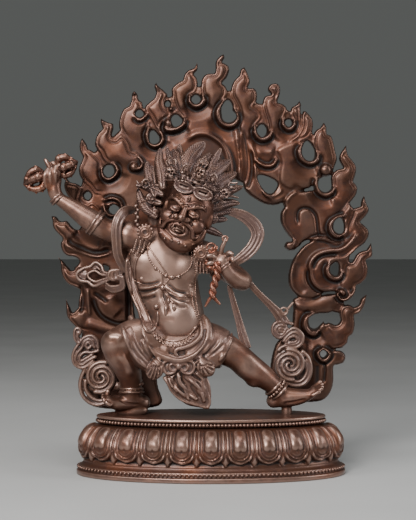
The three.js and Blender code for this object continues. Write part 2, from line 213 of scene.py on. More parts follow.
class Forms:
    """Closed solids gathered in one bmesh. Each is made in a small bmesh of its own."""

    def __init__(self, *meshes):
        self.bm = bmesh.new()
        for mesh in meshes:
            self.bm.from_mesh(mesh)

    def add(self, bm, places=(Matrix(),)):
        mesh = bpy.data.meshes.new("form")
        bm.to_mesh(mesh)
        bm.free()
        for place in places:
            copy = mesh.copy()
            copy.transform(place)
            self.bm.from_mesh(copy)
            bpy.data.meshes.remove(copy)
        bpy.data.meshes.remove(mesh)

    def mesh(self):
        made = bpy.data.meshes.new("forms")
        self.bm.to_mesh(made)
        self.bm.free()
        return made


def sweep(forms, rows, sides=12, ends=True):
    """A closed bar along rows of x, y, z, half-width and, where it isn't round, half-depth."""
    bm = bmesh.new()
    rows = [np.array(row if len(row) > 4 else [*row, row[3]], float) for row in rows]
    if ends:
        rows = rounded(rows[::-1])[::-1]
        rows = rounded(rows)
    spots = [Vector(row[:3]) for row in rows]
    depth = FRONT
    rims = []
    for i, (*_, wide, deep) in enumerate(rows):
        run = spots[min(i + 1, len(spots) - 1)] - spots[max(i - 1, 0)]
        run.normalize()
        flat = FRONT - run * run.dot(FRONT)
        depth = flat.normalized() if flat.length > 0.15 else (depth - run * run.dot(depth)).normalized()
        side = run.cross(depth)
        place = Matrix((side * wide, depth * deep, run)).transposed().to_4x4()
        place.translation = spots[i]
        ring = bmesh.ops.create_circle(bm, segments=sides, radius=1, matrix=place)["verts"]
        rims.append(list({e for v in ring for e in v.link_edges}))
        if i:
            bmesh.ops.bridge_loops(bm, edges=rims[-2] + rims[-1])
    for rim in (rims[0], rims[-1]):
        bmesh.ops.edgeloop_fill(bm, edges=rim)
    bmesh.ops.recalc_face_normals(bm, faces=bm.faces[:])
    forms.add(bm)


def rounded(rows):
    """Two more rows past the last one, which draw the end in to a round tip."""
    last = rows[-1]
    run = last[:3] - rows[-2][:3]
    run = run / (np.linalg.norm(run) + 1e-9)
    tips = [[*(last[:3] + run * min(last[3:]) * out), *(last[3:] * share)]
            for out, share in ((0.55, 0.83), (0.92, 0.4))]
    return [*rows, *np.array(tips)]


def rod(forms, points, sides=12, step=0.8, ends=True):
    """A smooth bar through rows of x, y, z, half-width and, where it isn't round, half-depth."""
    sweep(forms, smooth(points, step, axes=3), sides, ends)


def blob(forms, centre, radii, roll=0, tilt=0, yaw=0, fine=3):
    """An ellipsoid. roll turns it in the picture plane, tilt nods it and yaw turns it."""
    place = Matrix.Translation(centre)
    for angle, axis in ((yaw, "Z"), (roll, "Y"), (tilt, "X")):
        place = place @ Matrix.Rotation(math.radians(angle), 4, axis)
    place = place @ Matrix.Diagonal((*radii, 1))
    bm = bmesh.new()
    bmesh.ops.create_icosphere(bm, subdivisions=fine, radius=1, matrix=place)
    forms.add(bm)


def ball(forms, centre, radius, fine=2):
    blob(forms, centre, (radius,) * 3, fine=fine)


def wire(forms, mark, y, thick, start, end=None, turns=1, angle=0, steps=14, step=0.3, clockwise=False,
         rise=0.0):
    """A thin ring or, with an end radius, a coil at depth y. It rises towards the eye."""
    line = spiral(mark, start, start if end is None else end, turns, angle, clockwise, steps)
    rod(forms, [(*on_eye_line(*p, y - rise * i), thick) for i, p in enumerate(line)], 8, step=step)


def fuse(forms, voxel):
    """One closed skin round all the forms."""
    holder = put("fused", forms.mesh())
    skin = holder.modifiers.new("Skin", "REMESH")
    skin.mode = "VOXEL"
    skin.voxel_size = voxel
    return settled(holder)


def settled(holder):
    """The mesh of an object with its modifiers made permanent. The object is removed."""
    bpy.context.view_layer.update()
    graph = bpy.context.evaluated_depsgraph_get()
    made = bpy.data.meshes.new_from_object(holder.evaluated_get(graph))
    raw = holder.data
    bpy.data.objects.remove(holder)
    bpy.data.meshes.remove(raw)
    return made


class Clay:
    """A mesh whose points are moved in bulk."""

    def __init__(self, mesh):
        self.mesh = mesh
        self.co = np.empty(len(mesh.vertices) * 3, np.float32)
        mesh.vertices.foreach_get("co", self.co)
        self.co = self.co.reshape(-1, 3).astype(float)
        edges = np.empty(len(mesh.edges) * 2, np.int32)
        mesh.edges.foreach_get("vertices", edges)
        self.edges = edges.reshape(-1, 2)
        self.count = np.bincount(edges, minlength=len(self.co)).clip(1)

    def mean(self, values):
        """The mean of each point's neighbours."""
        a, b = self.edges.T
        size = len(self.co)
        columns = values.reshape(size, -1).T
        total = [np.bincount(a, v[b], size) + np.bincount(b, v[a], size) for v in columns]
        return (np.stack(total, 1) / self.count[:, None]).reshape(values.shape)

    def relax(self, times):
        for _ in range(times):
            self.co += 0.5 * (self.mean(self.co) - self.co)

    def normals(self):
        self.write()
        out = np.empty(len(self.co) * 3, np.float32)
        self.mesh.vertices.foreach_get("normal", out)
        return out.reshape(-1, 3).astype(float)

    def write(self):
        self.mesh.vertices.foreach_set("co", self.co.astype(np.float32).ravel())
        self.mesh.update()

    def seen(self):
        """Each point as the eye sees it on the middle plane."""
        reach = -EYE[1] / (self.co[:, 1] - EYE[1])
        return np.stack([EYE[0] + (self.co[:, 0] - EYE[0]) * reach,
                         EYE[2] + (self.co[:, 2] - EYE[2]) * reach], 1)

    def in_view(self, slack=0.9, cell=0.35):
        """1 where a point faces the eye with nothing in front of it, fading to 0."""
        spots = self.seen()
        grid = np.floor((spots - spots.min(0)) / cell).astype(int)
        wide = grid[:, 0].max() + 1
        where = grid[:, 1] * wide + grid[:, 0]
        nearest = np.full(where.max() + 1, 1e9)
        np.minimum.at(nearest, where, self.co[:, 1])
        open_view = self.co[:, 1] < nearest[where] + slack
        return ease(-self.normals()[:, 1], 0.0, 0.35) * open_view

    def carve(self, relief, mask, along=None):
        """Moves every point out by the relief's height there."""
        way = self.normals() if along is None else np.array(along, float)
        self.co += way * (relief.height * mask)[:, None]
        self.write()


def cast(forms, voxel, relaxed=0):
    """The forms as one clay, with the skin's small steps smoothed out."""
    clay = Clay(fuse(forms, voxel))
    clay.relax(relaxed)
    clay.write()
    return clay


def on_eye_line(x, z, y):
    """The point at depth y that the eye sees at x, z on the middle plane."""
    reach = (y - EYE[1]) / -EYE[1]
    return Vector((EYE[0] + (x - EYE[0]) * reach, y, EYE[2] + (z - EYE[2]) * reach))


class Ground:
    """Finished forms that smaller things are laid on."""

    def __init__(self, *meshes):
        bm = Forms(*meshes).bm
        self.tree = BVHTree.FromBMesh(bm)
        bm.free()

    def at(self, x, z, out=0.0, otherwise=0.0):
        """The point that the eye sees at x, z, lifted towards the eye."""
        way = (on_eye_line(x, z, 0) - Vector(EYE)).normalized()
        hit = self.tree.ray_cast(Vector(EYE), way)[0]
        return on_eye_line(x, z, otherwise - out) if hit is None else hit - way * out

    def lay(self, points, out=0.0, step=0.5, otherwise=0.0):
        """A smooth line on the surface. Each point is x, z and then sizes."""
        line = smooth(points, step)
        spots = [self.at(p[0], p[1], out, otherwise) for p in line]
        rows = np.array([[*s, *p[2:]] for s, p in zip(spots, line)])
        # the line runs smoothly over small dips
        for _ in range(2):
            rows[1:-1, 1] = (rows[:-2, 1] + rows[1:-1, 1] + rows[2:, 1]) / 3
        return rows


# Materials

class Wire:
    """A shader socket that plain arithmetic works on."""

    def __init__(self, shader, socket):
        self.shader, self.socket = shader, socket

    def maths(self, operation, *values):
        return self.shader.node("Math", {"operation": operation}, dict(enumerate(values)))

    def __add__(self, other):
        return self.maths("ADD", self, other)

    def __sub__(self, other):
        return self.maths("SUBTRACT", self, other)

    def __mul__(self, other):
        return self.maths("MULTIPLY", self, other)

    def __truediv__(self, other):
        return self.maths("DIVIDE", self, other)

    def __rsub__(self, other):
        return self.maths("SUBTRACT", other, self)

    __radd__ = __add__

    def between(self, low, high):
        """0 at low and 1 at high, held to that range."""
        return self.shader.node("MapRange", {"interpolation_type": "SMOOTHSTEP"},
                                {"Value": self, "From Min": low, "From Max": high})


class Shader:
    """A material whose nodes are made by one method."""

    def __init__(self, name):
        self.material = bpy.data.materials.new(name)
        self.material.use_nodes = True
        self.tree = self.material.node_tree
        self.tree.nodes.clear()

    def node(self, kind, settings=None, values=None, out=0):
        made = self.tree.nodes.new("ShaderNode" + kind)
        for name, value in (settings or {}).items():
            setattr(made, name, value)
        for name, value in (values or {}).items():
            if isinstance(value, Wire):
                self.tree.links.new(value.socket, made.inputs[name])
            else:
                made.inputs[name].default_value = value
        return Wire(self, made.outputs[out]) if made.outputs else made

    def mix(self, share, first, second):
        """A colour between two others. A plain colour is three numbers."""
        first, second = (v if isinstance(v, Wire) else (*v, 1) for v in (first, second))
        return self.node("Mix", {"data_type": "RGBA"}, {0: share, 6: first, 7: second}, out=2)

    def noise(self, size_mm, detail=2.0, rough=0.5):
        return self.node("TexNoise", None, {"Vector": self.node("TexCoord", out=3), "Detail": detail,
                                            "Scale": 1 / (size_mm * MM), "Roughness": rough})


# Tones of the copper, as linear colour.
BODY = (0.095, 0.039, 0.022)
RUDDY = (0.17, 0.056, 0.024)
PLUM = (0.070, 0.036, 0.031)
# A paler rubbed tone: worn high places, and also the painted highlight on the torso.
RUBBED_AND_HIGHLIGHT = (0.36, 0.24, 0.195)
FRESH = (0.34, 0.095, 0.05)
# The darkest tone: patina dirt, and also the painted shade laid in the hollows and grooves.
GRIME_AND_SHADE = (0.010, 0.006, 0.0055)


def aged_copper(name, warm=0.35, pale=0.0, red=0.0, shine=0.40, grain=0.3, dirt_and_shade=1.0, gloss=0.1,
                dark=0.0, metal=0.84, painted_highlight=None, wear=0.45):
    """Cast copper with a brown patina that lies dark in the hollows, partly patina dirt and partly painted
    shade, and is rubbed bright on the high places. warm and red lean it to a brighter copper, pale to a
    rubbed tone, and the painted highlight, as a spot, a reach in mm and a share, is a paler patch round
    that spot where the light falls."""
    s = Shader(name)
    hollow = s.node("Attribute", {"attribute_name": "hollow"}, out=2)
    broad = s.noise(9, 3)
    fine = s.noise(1.6, 4, 0.6)
    specks = s.noise(0.35, 2, 0.6)
    # sunk and deep mark the hollows, which are darkened with patina dirt and painted shade.
    sunk = (hollow + (fine - 0.5) * 0.12).between(0.54, 0.54 + 0.34 / dirt_and_shade)
    deep = (hollow + (fine - 0.5) * 0.1).between(0.72, 0.98)
    worn = (0.0 - hollow + (fine - 0.5) * 0.25).between(-0.44, -0.14)
    tone = s.mix((broad + (fine - 0.5) * 0.5).between(0.36, 0.64), PLUM, BODY)
    tone = s.mix((1.0 - broad + (specks - 0.5) * 0.3).between(0.42, 0.72) * warm, tone, RUDDY)
    tone = s.mix(pale, tone, RUBBED_AND_HIGHLIGHT) if pale else tone
    # A painted highlight: the tone is lightened towards the rubbed tone round a spot, where the light
    # falls.
    if painted_highlight:
        spot, reach, share = painted_highlight
        far = s.node("VectorMath", {"operation": "DISTANCE"},
                     {0: s.node("TexCoord", out=3), 1: Vector(spot) * MM}, out=1)
        tone = s.mix((1.0 - far / (reach * MM)).between(0.0, 0.6) * share, tone, RUBBED_AND_HIGHLIGHT)
    tone = s.mix(red, tone, FRESH) if red else tone
    tone = s.mix(dark, tone, GRIME_AND_SHADE) if dark else tone
    # Worn high places take the rubbed tone; the hollows are darkened with patina dirt and painted shade.
    for share, colour in ((worn * wear, RUBBED_AND_HIGHLIGHT), (sunk * 0.72, GRIME_AND_SHADE), (deep * 0.85, GRIME_AND_SHADE)):
        tone = s.mix(share, tone, colour)
    rough = shine + sunk * 0.25 + (fine - 0.5) * 0.16 - worn * 0.08
    bump = s.node("Bump", None, {"Strength": grain, "Distance": 0.06 * MM,
                                 "Height": fine * 0.7 + specks * 0.3})
    shader = s.node("BsdfPrincipled", None, {
        "Base Color": tone, "Roughness": rough, "Metallic": metal - sunk * 0.3, "Normal": bump,
        "Coat Weight": gloss, "Coat Roughness": 0.3})
    s.node("OutputMaterial", None, {"Surface": shader})
    return s.material


# Finishing

def piece(name, clay, material, node, most=190_000, hollows=(1.0, 1.0)):
    """Thins a mesh to at most so many triangles, marks its hollows, brings it to metres and
    makes it a piece."""
    clay.write()
    mesh = clay.mesh
    mesh.calc_loop_triangles()
    share = most / len(mesh.loop_triangles)
    if share < 1:
        holder = put("thinned", mesh)
        holder.modifiers.new("Thin", "DECIMATE").ratio = share
        mesh = settled(holder)
        clay = Clay(mesh)
    mark_hollows(clay, *hollows)
    mesh.transform(Matrix.Scale(MM, 4))
    mesh.shade_smooth()
    mesh.name = name
    mesh.materials.clear()
    mesh.materials.append(material)
    made = put(name, mesh)
    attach(made, "root")
    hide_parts(node)


def mark_hollows(clay, fine, broad):
    """Stores how far each point lies in a hollow, from 0 on an edge to 1 in a groove. fine
    and broad say how strongly narrow and wide hollows count."""
    normals = clay.normals()
    soft, depth = clay.co, np.zeros(len(clay.co))
    for times, weight in ((4, 3.2 * fine), (14, 1.6 * broad)):
        for _ in range(times):
            soft = soft + 0.6 * (clay.mean(soft) - soft)
        depth += weight * ((soft - clay.co) * normals).sum(1)
    depth = np.clip(0.5 + depth, 0, 1)
    for _ in range(3):
        depth = 0.5 * depth + 0.5 * clay.mean(depth)
    layer = clay.mesh.attributes.new("hollow", "FLOAT", "POINT")
    layer.data.foreach_set("value", depth.astype(np.float32))


# Camera, light and floor

LAMPS = [
    # name, place, aim, size, watts and colour
    ("left_box", (-300, -240, 280), (0, 0, 55), (150, 180), 0.75, (1, 0.97, 0.95)),
    ("right_box", (380, -120, 200), (0, 0, 55), (140, 260), 1.1, (0.95, 0.98, 1)),
    ("front_box", (-130, -400, 250), (0, 0, 50), (150, 110), 2.6, (1, 0.98, 0.96)),
    ("top_box", (0, -160, 420), (0, 0, 30), (260, 160), 1.1, (1, 1, 1)),
]
AIR = (0.76, 0.80, 0.77, 1)
AIR_STRENGTH = 0.13
FLOOR_REACH = 2.5  # metres from its middle to its edge


def set_camera():
    lens = bpy.data.cameras.new("camera")
    lens.lens, lens.sensor_width = LENS, SENSOR
    lens.clip_start, lens.clip_end = 0.01, 20
    camera = put("camera", lens)
    camera.location = Vector(EYE) * MM
    camera.rotation_euler = (math.radians(90 - EYE_TILT), 0, 0)
    bpy.context.scene.camera = camera


def set_studio():
    world = bpy.data.worlds.new("studio")
    world.use_nodes = True
    air = world.node_tree.nodes["Background"]
    air.inputs["Color"].default_value = AIR
    air.inputs["Strength"].default_value = AIR_STRENGTH
    bpy.context.scene.world = world
    for name, place, aim, (wide, high), watts, colour in LAMPS:
        lamp = bpy.data.lights.new(name, "AREA")
        lamp.shape = "RECTANGLE"
        lamp.size, lamp.size_y = wide * MM, high * MM
        lamp.energy, lamp.color = watts, colour
        made = put(name, lamp)
        made.location = Vector(place) * MM
        made.rotation_euler = (Vector(aim) - Vector(place)).to_track_quat("-Z", "Y").to_euler()

    floor = Shader("floor")
    tone = floor.mix(floor.noise(60, 2).between(0.3, 0.7), (0.36, 0.36, 0.355), (0.39, 0.39, 0.385))
    cover = floor.node("BsdfPrincipled", None, {"Base Color": tone, "Roughness": 0.6})
    floor.node("OutputMaterial", None, {"Surface": cover})
    mesh = bpy.data.meshes.new("floor")
    with editing(mesh) as bm:
        bmesh.ops.create_grid(bm, x_segments=8, y_segments=8, size=FLOOR_REACH)
    mesh.materials.append(floor.material)
    put("floor", mesh)


set_camera()
set_studio()


# Lotus base

PETALS = 22
# The wall from foot to deck: half-width and height.
BASE_WALL = [
    (35.9, 0.0), (36.4, 0.12), (36.5, 0.35), (36.5, 1.15), (36.3, 1.35), (35.9, 1.5), (35.8, 1.8),
    (35.8, 2.5), (35.5, 2.75), (34.9, 3.2), (34.6, 3.8), (35.0, 4.6), (35.5, 6.0), (35.7, 7.6),
    (35.4, 9.2), (34.6, 10.8), (33.1, 12.3), (31.2, 13.3), (30.0, 13.65), (29.7, 13.8), (30.1, 13.95),
    (30.35, 14.1), (30.35, 14.95), (30.9, 15.15), (31.1, 15.5), (31.0, 15.85), (30.8, 16.0),
    (30.3, 15.98), (27.0, 15.95),
]
# The oval that the wall stands off, by half-width and half-depth, and the petals' way round it.
OVAL = (35.0, 16.5)
GIRTH = 167.0
ROUND_STEPS = 704
DECK = 15.95
# The middle of a petal's round foot, and of the boss on it.
PETAL_FOOT, PETAL_BOSS = 8.4, 10.5
# Bead rows: half-width, half-depth, height, radius and count.
BEADS = [(30.85, 12.35, 14.5, 0.5, 146), (36.05, 17.55, 2.15, 0.43, 150)]


def even_angles(half_width, half_depth, count):
    """Angles that divide an oval into equal lengths, counted from the middle of the front."""
    fine = np.linspace(0, 2 * math.pi, 4001) - math.pi / 2
    x, y = half_width * np.cos(fine), half_depth * np.sin(fine)
    far = np.concatenate([[0], np.cumsum(np.hypot(np.diff(x), np.diff(y)))])
    return np.interp(np.linspace(0, far[-1], count, endpoint=False), far, fine)


def turned_wall():
    """The wall wrapped round the oval in equal steps, and each point's share of the way round."""
    # the width counts twice, so the rows lie closer where the wall turns in or out
    wall = smooth([(height, wide, wide) for wide, height in BASE_WALL], 0.24, axes=3)
    mesh = bpy.data.meshes.new("wall")
    with editing(mesh) as bm:
        bmesh.ops.create_grid(bm, x_segments=ROUND_STEPS, y_segments=len(wall) - 1, size=0.5)
    clay = Clay(mesh)
    step = np.rint((clay.co[:, 0] + 0.5) * ROUND_STEPS).astype(int) % ROUND_STEPS
    row = np.rint((clay.co[:, 1] + 0.5) * (len(wall) - 1)).astype(int)
    height, wide, _ = wall[row].T
    half_width, half_depth = OVAL
    angle = even_angles(half_width, half_depth, ROUND_STEPS)[step]
    c, s = np.cos(angle), np.sin(angle)
    away = np.stack([half_depth * c, half_width * s, 0 * angle], 1)
    away /= np.linalg.norm(away, axis=1)[:, None]
    clay.co = np.stack([half_width * c, half_depth * s, height], 1) + away * (wide - half_width)[:, None]
    clay.write()
    mesh.attributes.new("share", "FLOAT", "POINT").data.foreach_set("value", step / ROUND_STEPS)
    with editing(mesh) as bm:
        bmesh.ops.remove_doubles(bm, verts=[v for v in bm.verts if v.is_boundary], dist=1e-4)
    share = np.empty(len(mesh.vertices), np.float32)
    mesh.attributes["share"].data.foreach_get("value", share)
    return Clay(mesh), share


def petal_relief(across, height):
    """How far a lotus petal stands out at a spot, across being measured from its middle."""
    below = PETAL_FOOT - height
    gap = np.hypot(across, np.maximum(below, 0))
    shape = 0.75 * np.sqrt(np.clip(1 - (gap / 4.15) ** 2, 0, 1)) - 0.35
    shape -= 0.45 * ease(gap, 3.55, 3.85)
    # the lines that run round inside its edge
    for place, wide, high in ((2.72, 0.24, -0.36), (2.35, 0.22, 0.2), (2.02, 0.20, -0.3), (3.2, 0.3, 0.12)):
        shape += high * np.clip(1 - ((gap - place) / wide) ** 2, 0, 1)
    # the polished boss in the middle, square at its top, with a split lip at its foot
    boss = ((across / 1.85) ** 4 + ((height - PETAL_BOSS) / 2.45) ** 4) ** 0.25
    shape += 0.95 * np.sqrt(np.clip(1 - boss ** 2, 0, 1))
    split = np.hypot(across / 0.3, (height - 8.2) / 0.55)
    shape -= 0.3 * np.clip(1 - split ** 2, 0, 1)
    # small scrolls on the lip
    turn = np.arctan2(across, np.maximum(below, 0.01))
    lip = np.clip(1 - ((gap - 3.25) / 0.45) ** 2, 0, 1) * (below > 0)
    return shape + 0.2 * lip * np.cos(turn * 7.0)


def lotus_base():
    clay, share = turned_wall()
    out = clay.normals()
    height = clay.co[:, 2]
    phase = (share * PETALS + 0.5) % 1 - 0.5
    pitch = GIRTH / PETALS
    raised = petal_relief(phase * pitch, height)
    # the pointed dart between two petals
    beside = (0.5 - np.abs(phase)) * pitch
    dart = 1 - beside / np.interp(height, [3.7, 5.3, 7.4], [0.05, 1.05, 0.15])
    dart = np.where((height > 3.7) & (height < 7.6), dart, -1)
    raised = np.maximum(raised, np.where(dart > 0, 0.75 * dart.clip(0, 0.75) - 0.3, -1))
    petal_band = ease(height, 3.9, 4.4) * ease(-height, -13.3, -12.9)
    clay.co += out * (raised * petal_band)[:, None]
    clay.write()
    # close the underside and the deck with smaller and smaller ovals
    with editing(clay.mesh) as bm:
        for level, half_width, sizes in ((0.0, 35.9, (0.6, 0.1)),
                                         (DECK, 27.0, (0.86, 0.75, 0.62, 0.48, 0.34, 0.2, 0.08))):
            rim = [e for e in bm.edges if e.is_boundary and abs(e.verts[0].co.z - level) < 0.05]
            for size in sizes:
                grown = bmesh.ops.extrude_edge_only(bm, edges=rim)["geom"]
                verts = [v for v in grown if isinstance(v, bmesh.types.BMVert)]
                rim = [e for e in grown if isinstance(e, bmesh.types.BMEdge) and e.is_boundary]
                factor = half_width * size / max(v.co.x for v in verts)
                bmesh.ops.scale(bm, vec=(factor, factor, 1), verts=verts)
            bmesh.ops.edgeloop_fill(bm, edges=rim)
        bmesh.ops.recalc_face_normals(bm, faces=bm.faces[:])
    piece("lotus_wall", Clay(clay.mesh),
          aged_copper("base_copper", warm=0.85, shine=0.38, dark=0.15, metal=0.62),
          "lotus_base", most=125_000, hollows=(1.2, 0.7))


def bead_rows():
    forms = Forms()
    for half_width, half_depth, height, radius, count in BEADS:
        places = [Matrix.Translation((half_width * math.cos(a), half_depth * math.sin(a), height))
                  @ Matrix.Rotation(a, 4, "Z") for a in even_angles(half_width, half_depth, count)]
        bm = bmesh.new()
        bmesh.ops.create_uvsphere(bm, u_segments=8, v_segments=6, radius=radius)
        forms.add(bm, places)
    piece("bead_rows", Clay(forms.mesh()), aged_copper("bead_copper", warm=0.4, pale=0.3, shine=0.33),
          "lotus_base", hollows=(0.0, 0.0))


lotus_base()
bead_rows()


# Flame aureole

PLATE_Y = 8.0
PLATE_HALF = 1.4
GRID = 0.2
NUDGE = 0.02
# The sheet that the plate is cut from: its lower left and upper right corners.
SHEET = np.array([[-45.5, 15.0], [46.5, 118.0]])

# Broad areas of the plate that carry the flames.
LEFT_PLATE = [(-32.2, 18.1), (-14.6, 18.1), (-14.4, 24), (-16.5, 33), (-20.1, 41.1), (-20.9, 49.2),
    (-19.8, 57.4), (-16, 63.3), (-12.7, 68.2), (-10.6, 72.8), (-7.3, 76.9), (-1.9, 80.1), (3, 81.2),
    (8.7, 78.8), (11.1, 81.8), (12.7, 90.4), (9.8, 98), (7.9, 102.9), (5, 103.7), (0.8, 103.4),
    (-3.1, 104.9), (-6.2, 103.4), (-8.7, 101.8), (-11.2, 102.1), (-13.8, 100.2), (-17.6, 99.2),
    (-20.9, 98), (-23.6, 95.3), (-24.9, 92.9), (-27.9, 90.2), (-30.9, 87.7), (-33.1, 85), (-34.4, 81.2),
    (-35.2, 78), (-36.3, 75), (-33.9, 70.9), (-35.5, 66.6), (-39.3, 61.7), (-37.1, 55.7), (-35.5, 50.3),
    (-36, 45.4), (-35, 38.9), (-35.5, 33.5), (-33.3, 25.4)]
ARCH_BAND = [(7.3, 93.7), (7.9, 85), (8.7, 78), (10, 75.8), (12.2, 74.2), (14.6, 73), (17.3, 72.7),
    (19.5, 73.4), (21.7, 74.7), (24.1, 76.3), (27.4, 78), (30.1, 80.1), (33.2, 82.2), (31.2, 87.7),
    (27.6, 92.1), (24.4, 96.4), (21, 98.4), (17.3, 100.5), (13.3, 100.2), (10.6, 101.8), (7.9, 102.9)]
LOBE = [(17.6, 87.7), (18.4, 85.8), (18.8, 83.8), (18.8, 83.8), (18.4, 81.8), (18.3, 79.6), (19, 78.2),
    (20.6, 77.2), (22, 77), (23, 77.7), (23, 77.7), (24.7, 77.2), (26.8, 77.4), (28.5, 79.3),
    (29.5, 81.8), (29, 85.6), (24.1, 89.9), (20.3, 89.4)]
SCROLL_HEAD = [(21.7, 76.3), (20.1, 74.7), (19.4, 73.1), (19.8, 72.3), (19.8, 72.3), (18.8, 70.7),
    (18.8, 68.2), (19.8, 66), (21.4, 63.9), (22, 63.1), (20.3, 62.8), (19.8, 61.4), (20.9, 60.4),
    (22.5, 60.5), (24.1, 61.7), (25.2, 62.8), (27.4, 63.3), (32.2, 62.3), (35.5, 63.3), (38.2, 65.5),
    (39.3, 69.8), (37.7, 73.1), (35, 74.7), (31.7, 75.3), (29, 76.9), (24.9, 76.5), (23, 76.6)]
LOWER_SCROLL = [(24.9, 61.7), (23, 59.5), (21.8, 57.4), (20.9, 53.8), (21.1, 50.9), (22.2, 49.1),
    (23.6, 48), (25.2, 47.5), (27.1, 47.3), (29, 48), (30.9, 49), (33.9, 49.2), (36.6, 47.6),
    (38.8, 50.3), (38.2, 55.2), (37.7, 59), (40.9, 63.3), (39.3, 66.6), (36, 63.9), (32.2, 63.1),
    (29, 63.9), (27.1, 63.1)]
PILLOW = [(22.4, 46.1), (23.7, 47.1), (26, 46.9), (28.2, 47.5), (30.1, 48.4), (32, 48.8), (33.9, 48.7),
    (34.4, 47.6), (34.6, 46.5), (33.6, 44.8), (32.5, 43.6), (29.8, 43.3), (27.1, 43.3), (24.7, 43.8),
    (23, 44.6)]
RIGHT_LEG = [(22.5, 47.6), (22.2, 43.8), (21.4, 38.9), (17.6, 35.2), (16, 28.6), (16, 22.1), (17.1, 19.4),
    (23, 19.2), (27.9, 19.3), (30.1, 19.7), (31.4, 20.5), (32.7, 22.4), (33.3, 25.1), (33.3, 28.9),
    (34.7, 29.5), (36, 30), (36.6, 31.6), (35.8, 33.1), (33.9, 33.5), (32.2, 33.4), (33.9, 33.8),
    (35.8, 34.5), (32.2, 38.9), (29, 43.8), (27.4, 47.6)]
BRIDGE = [(31.2, 47.6), (33.3, 47.9), (35.8, 46.5), (36.3, 45.2), (35, 43.6), (33.3, 43.7), (31.7, 44.4)]

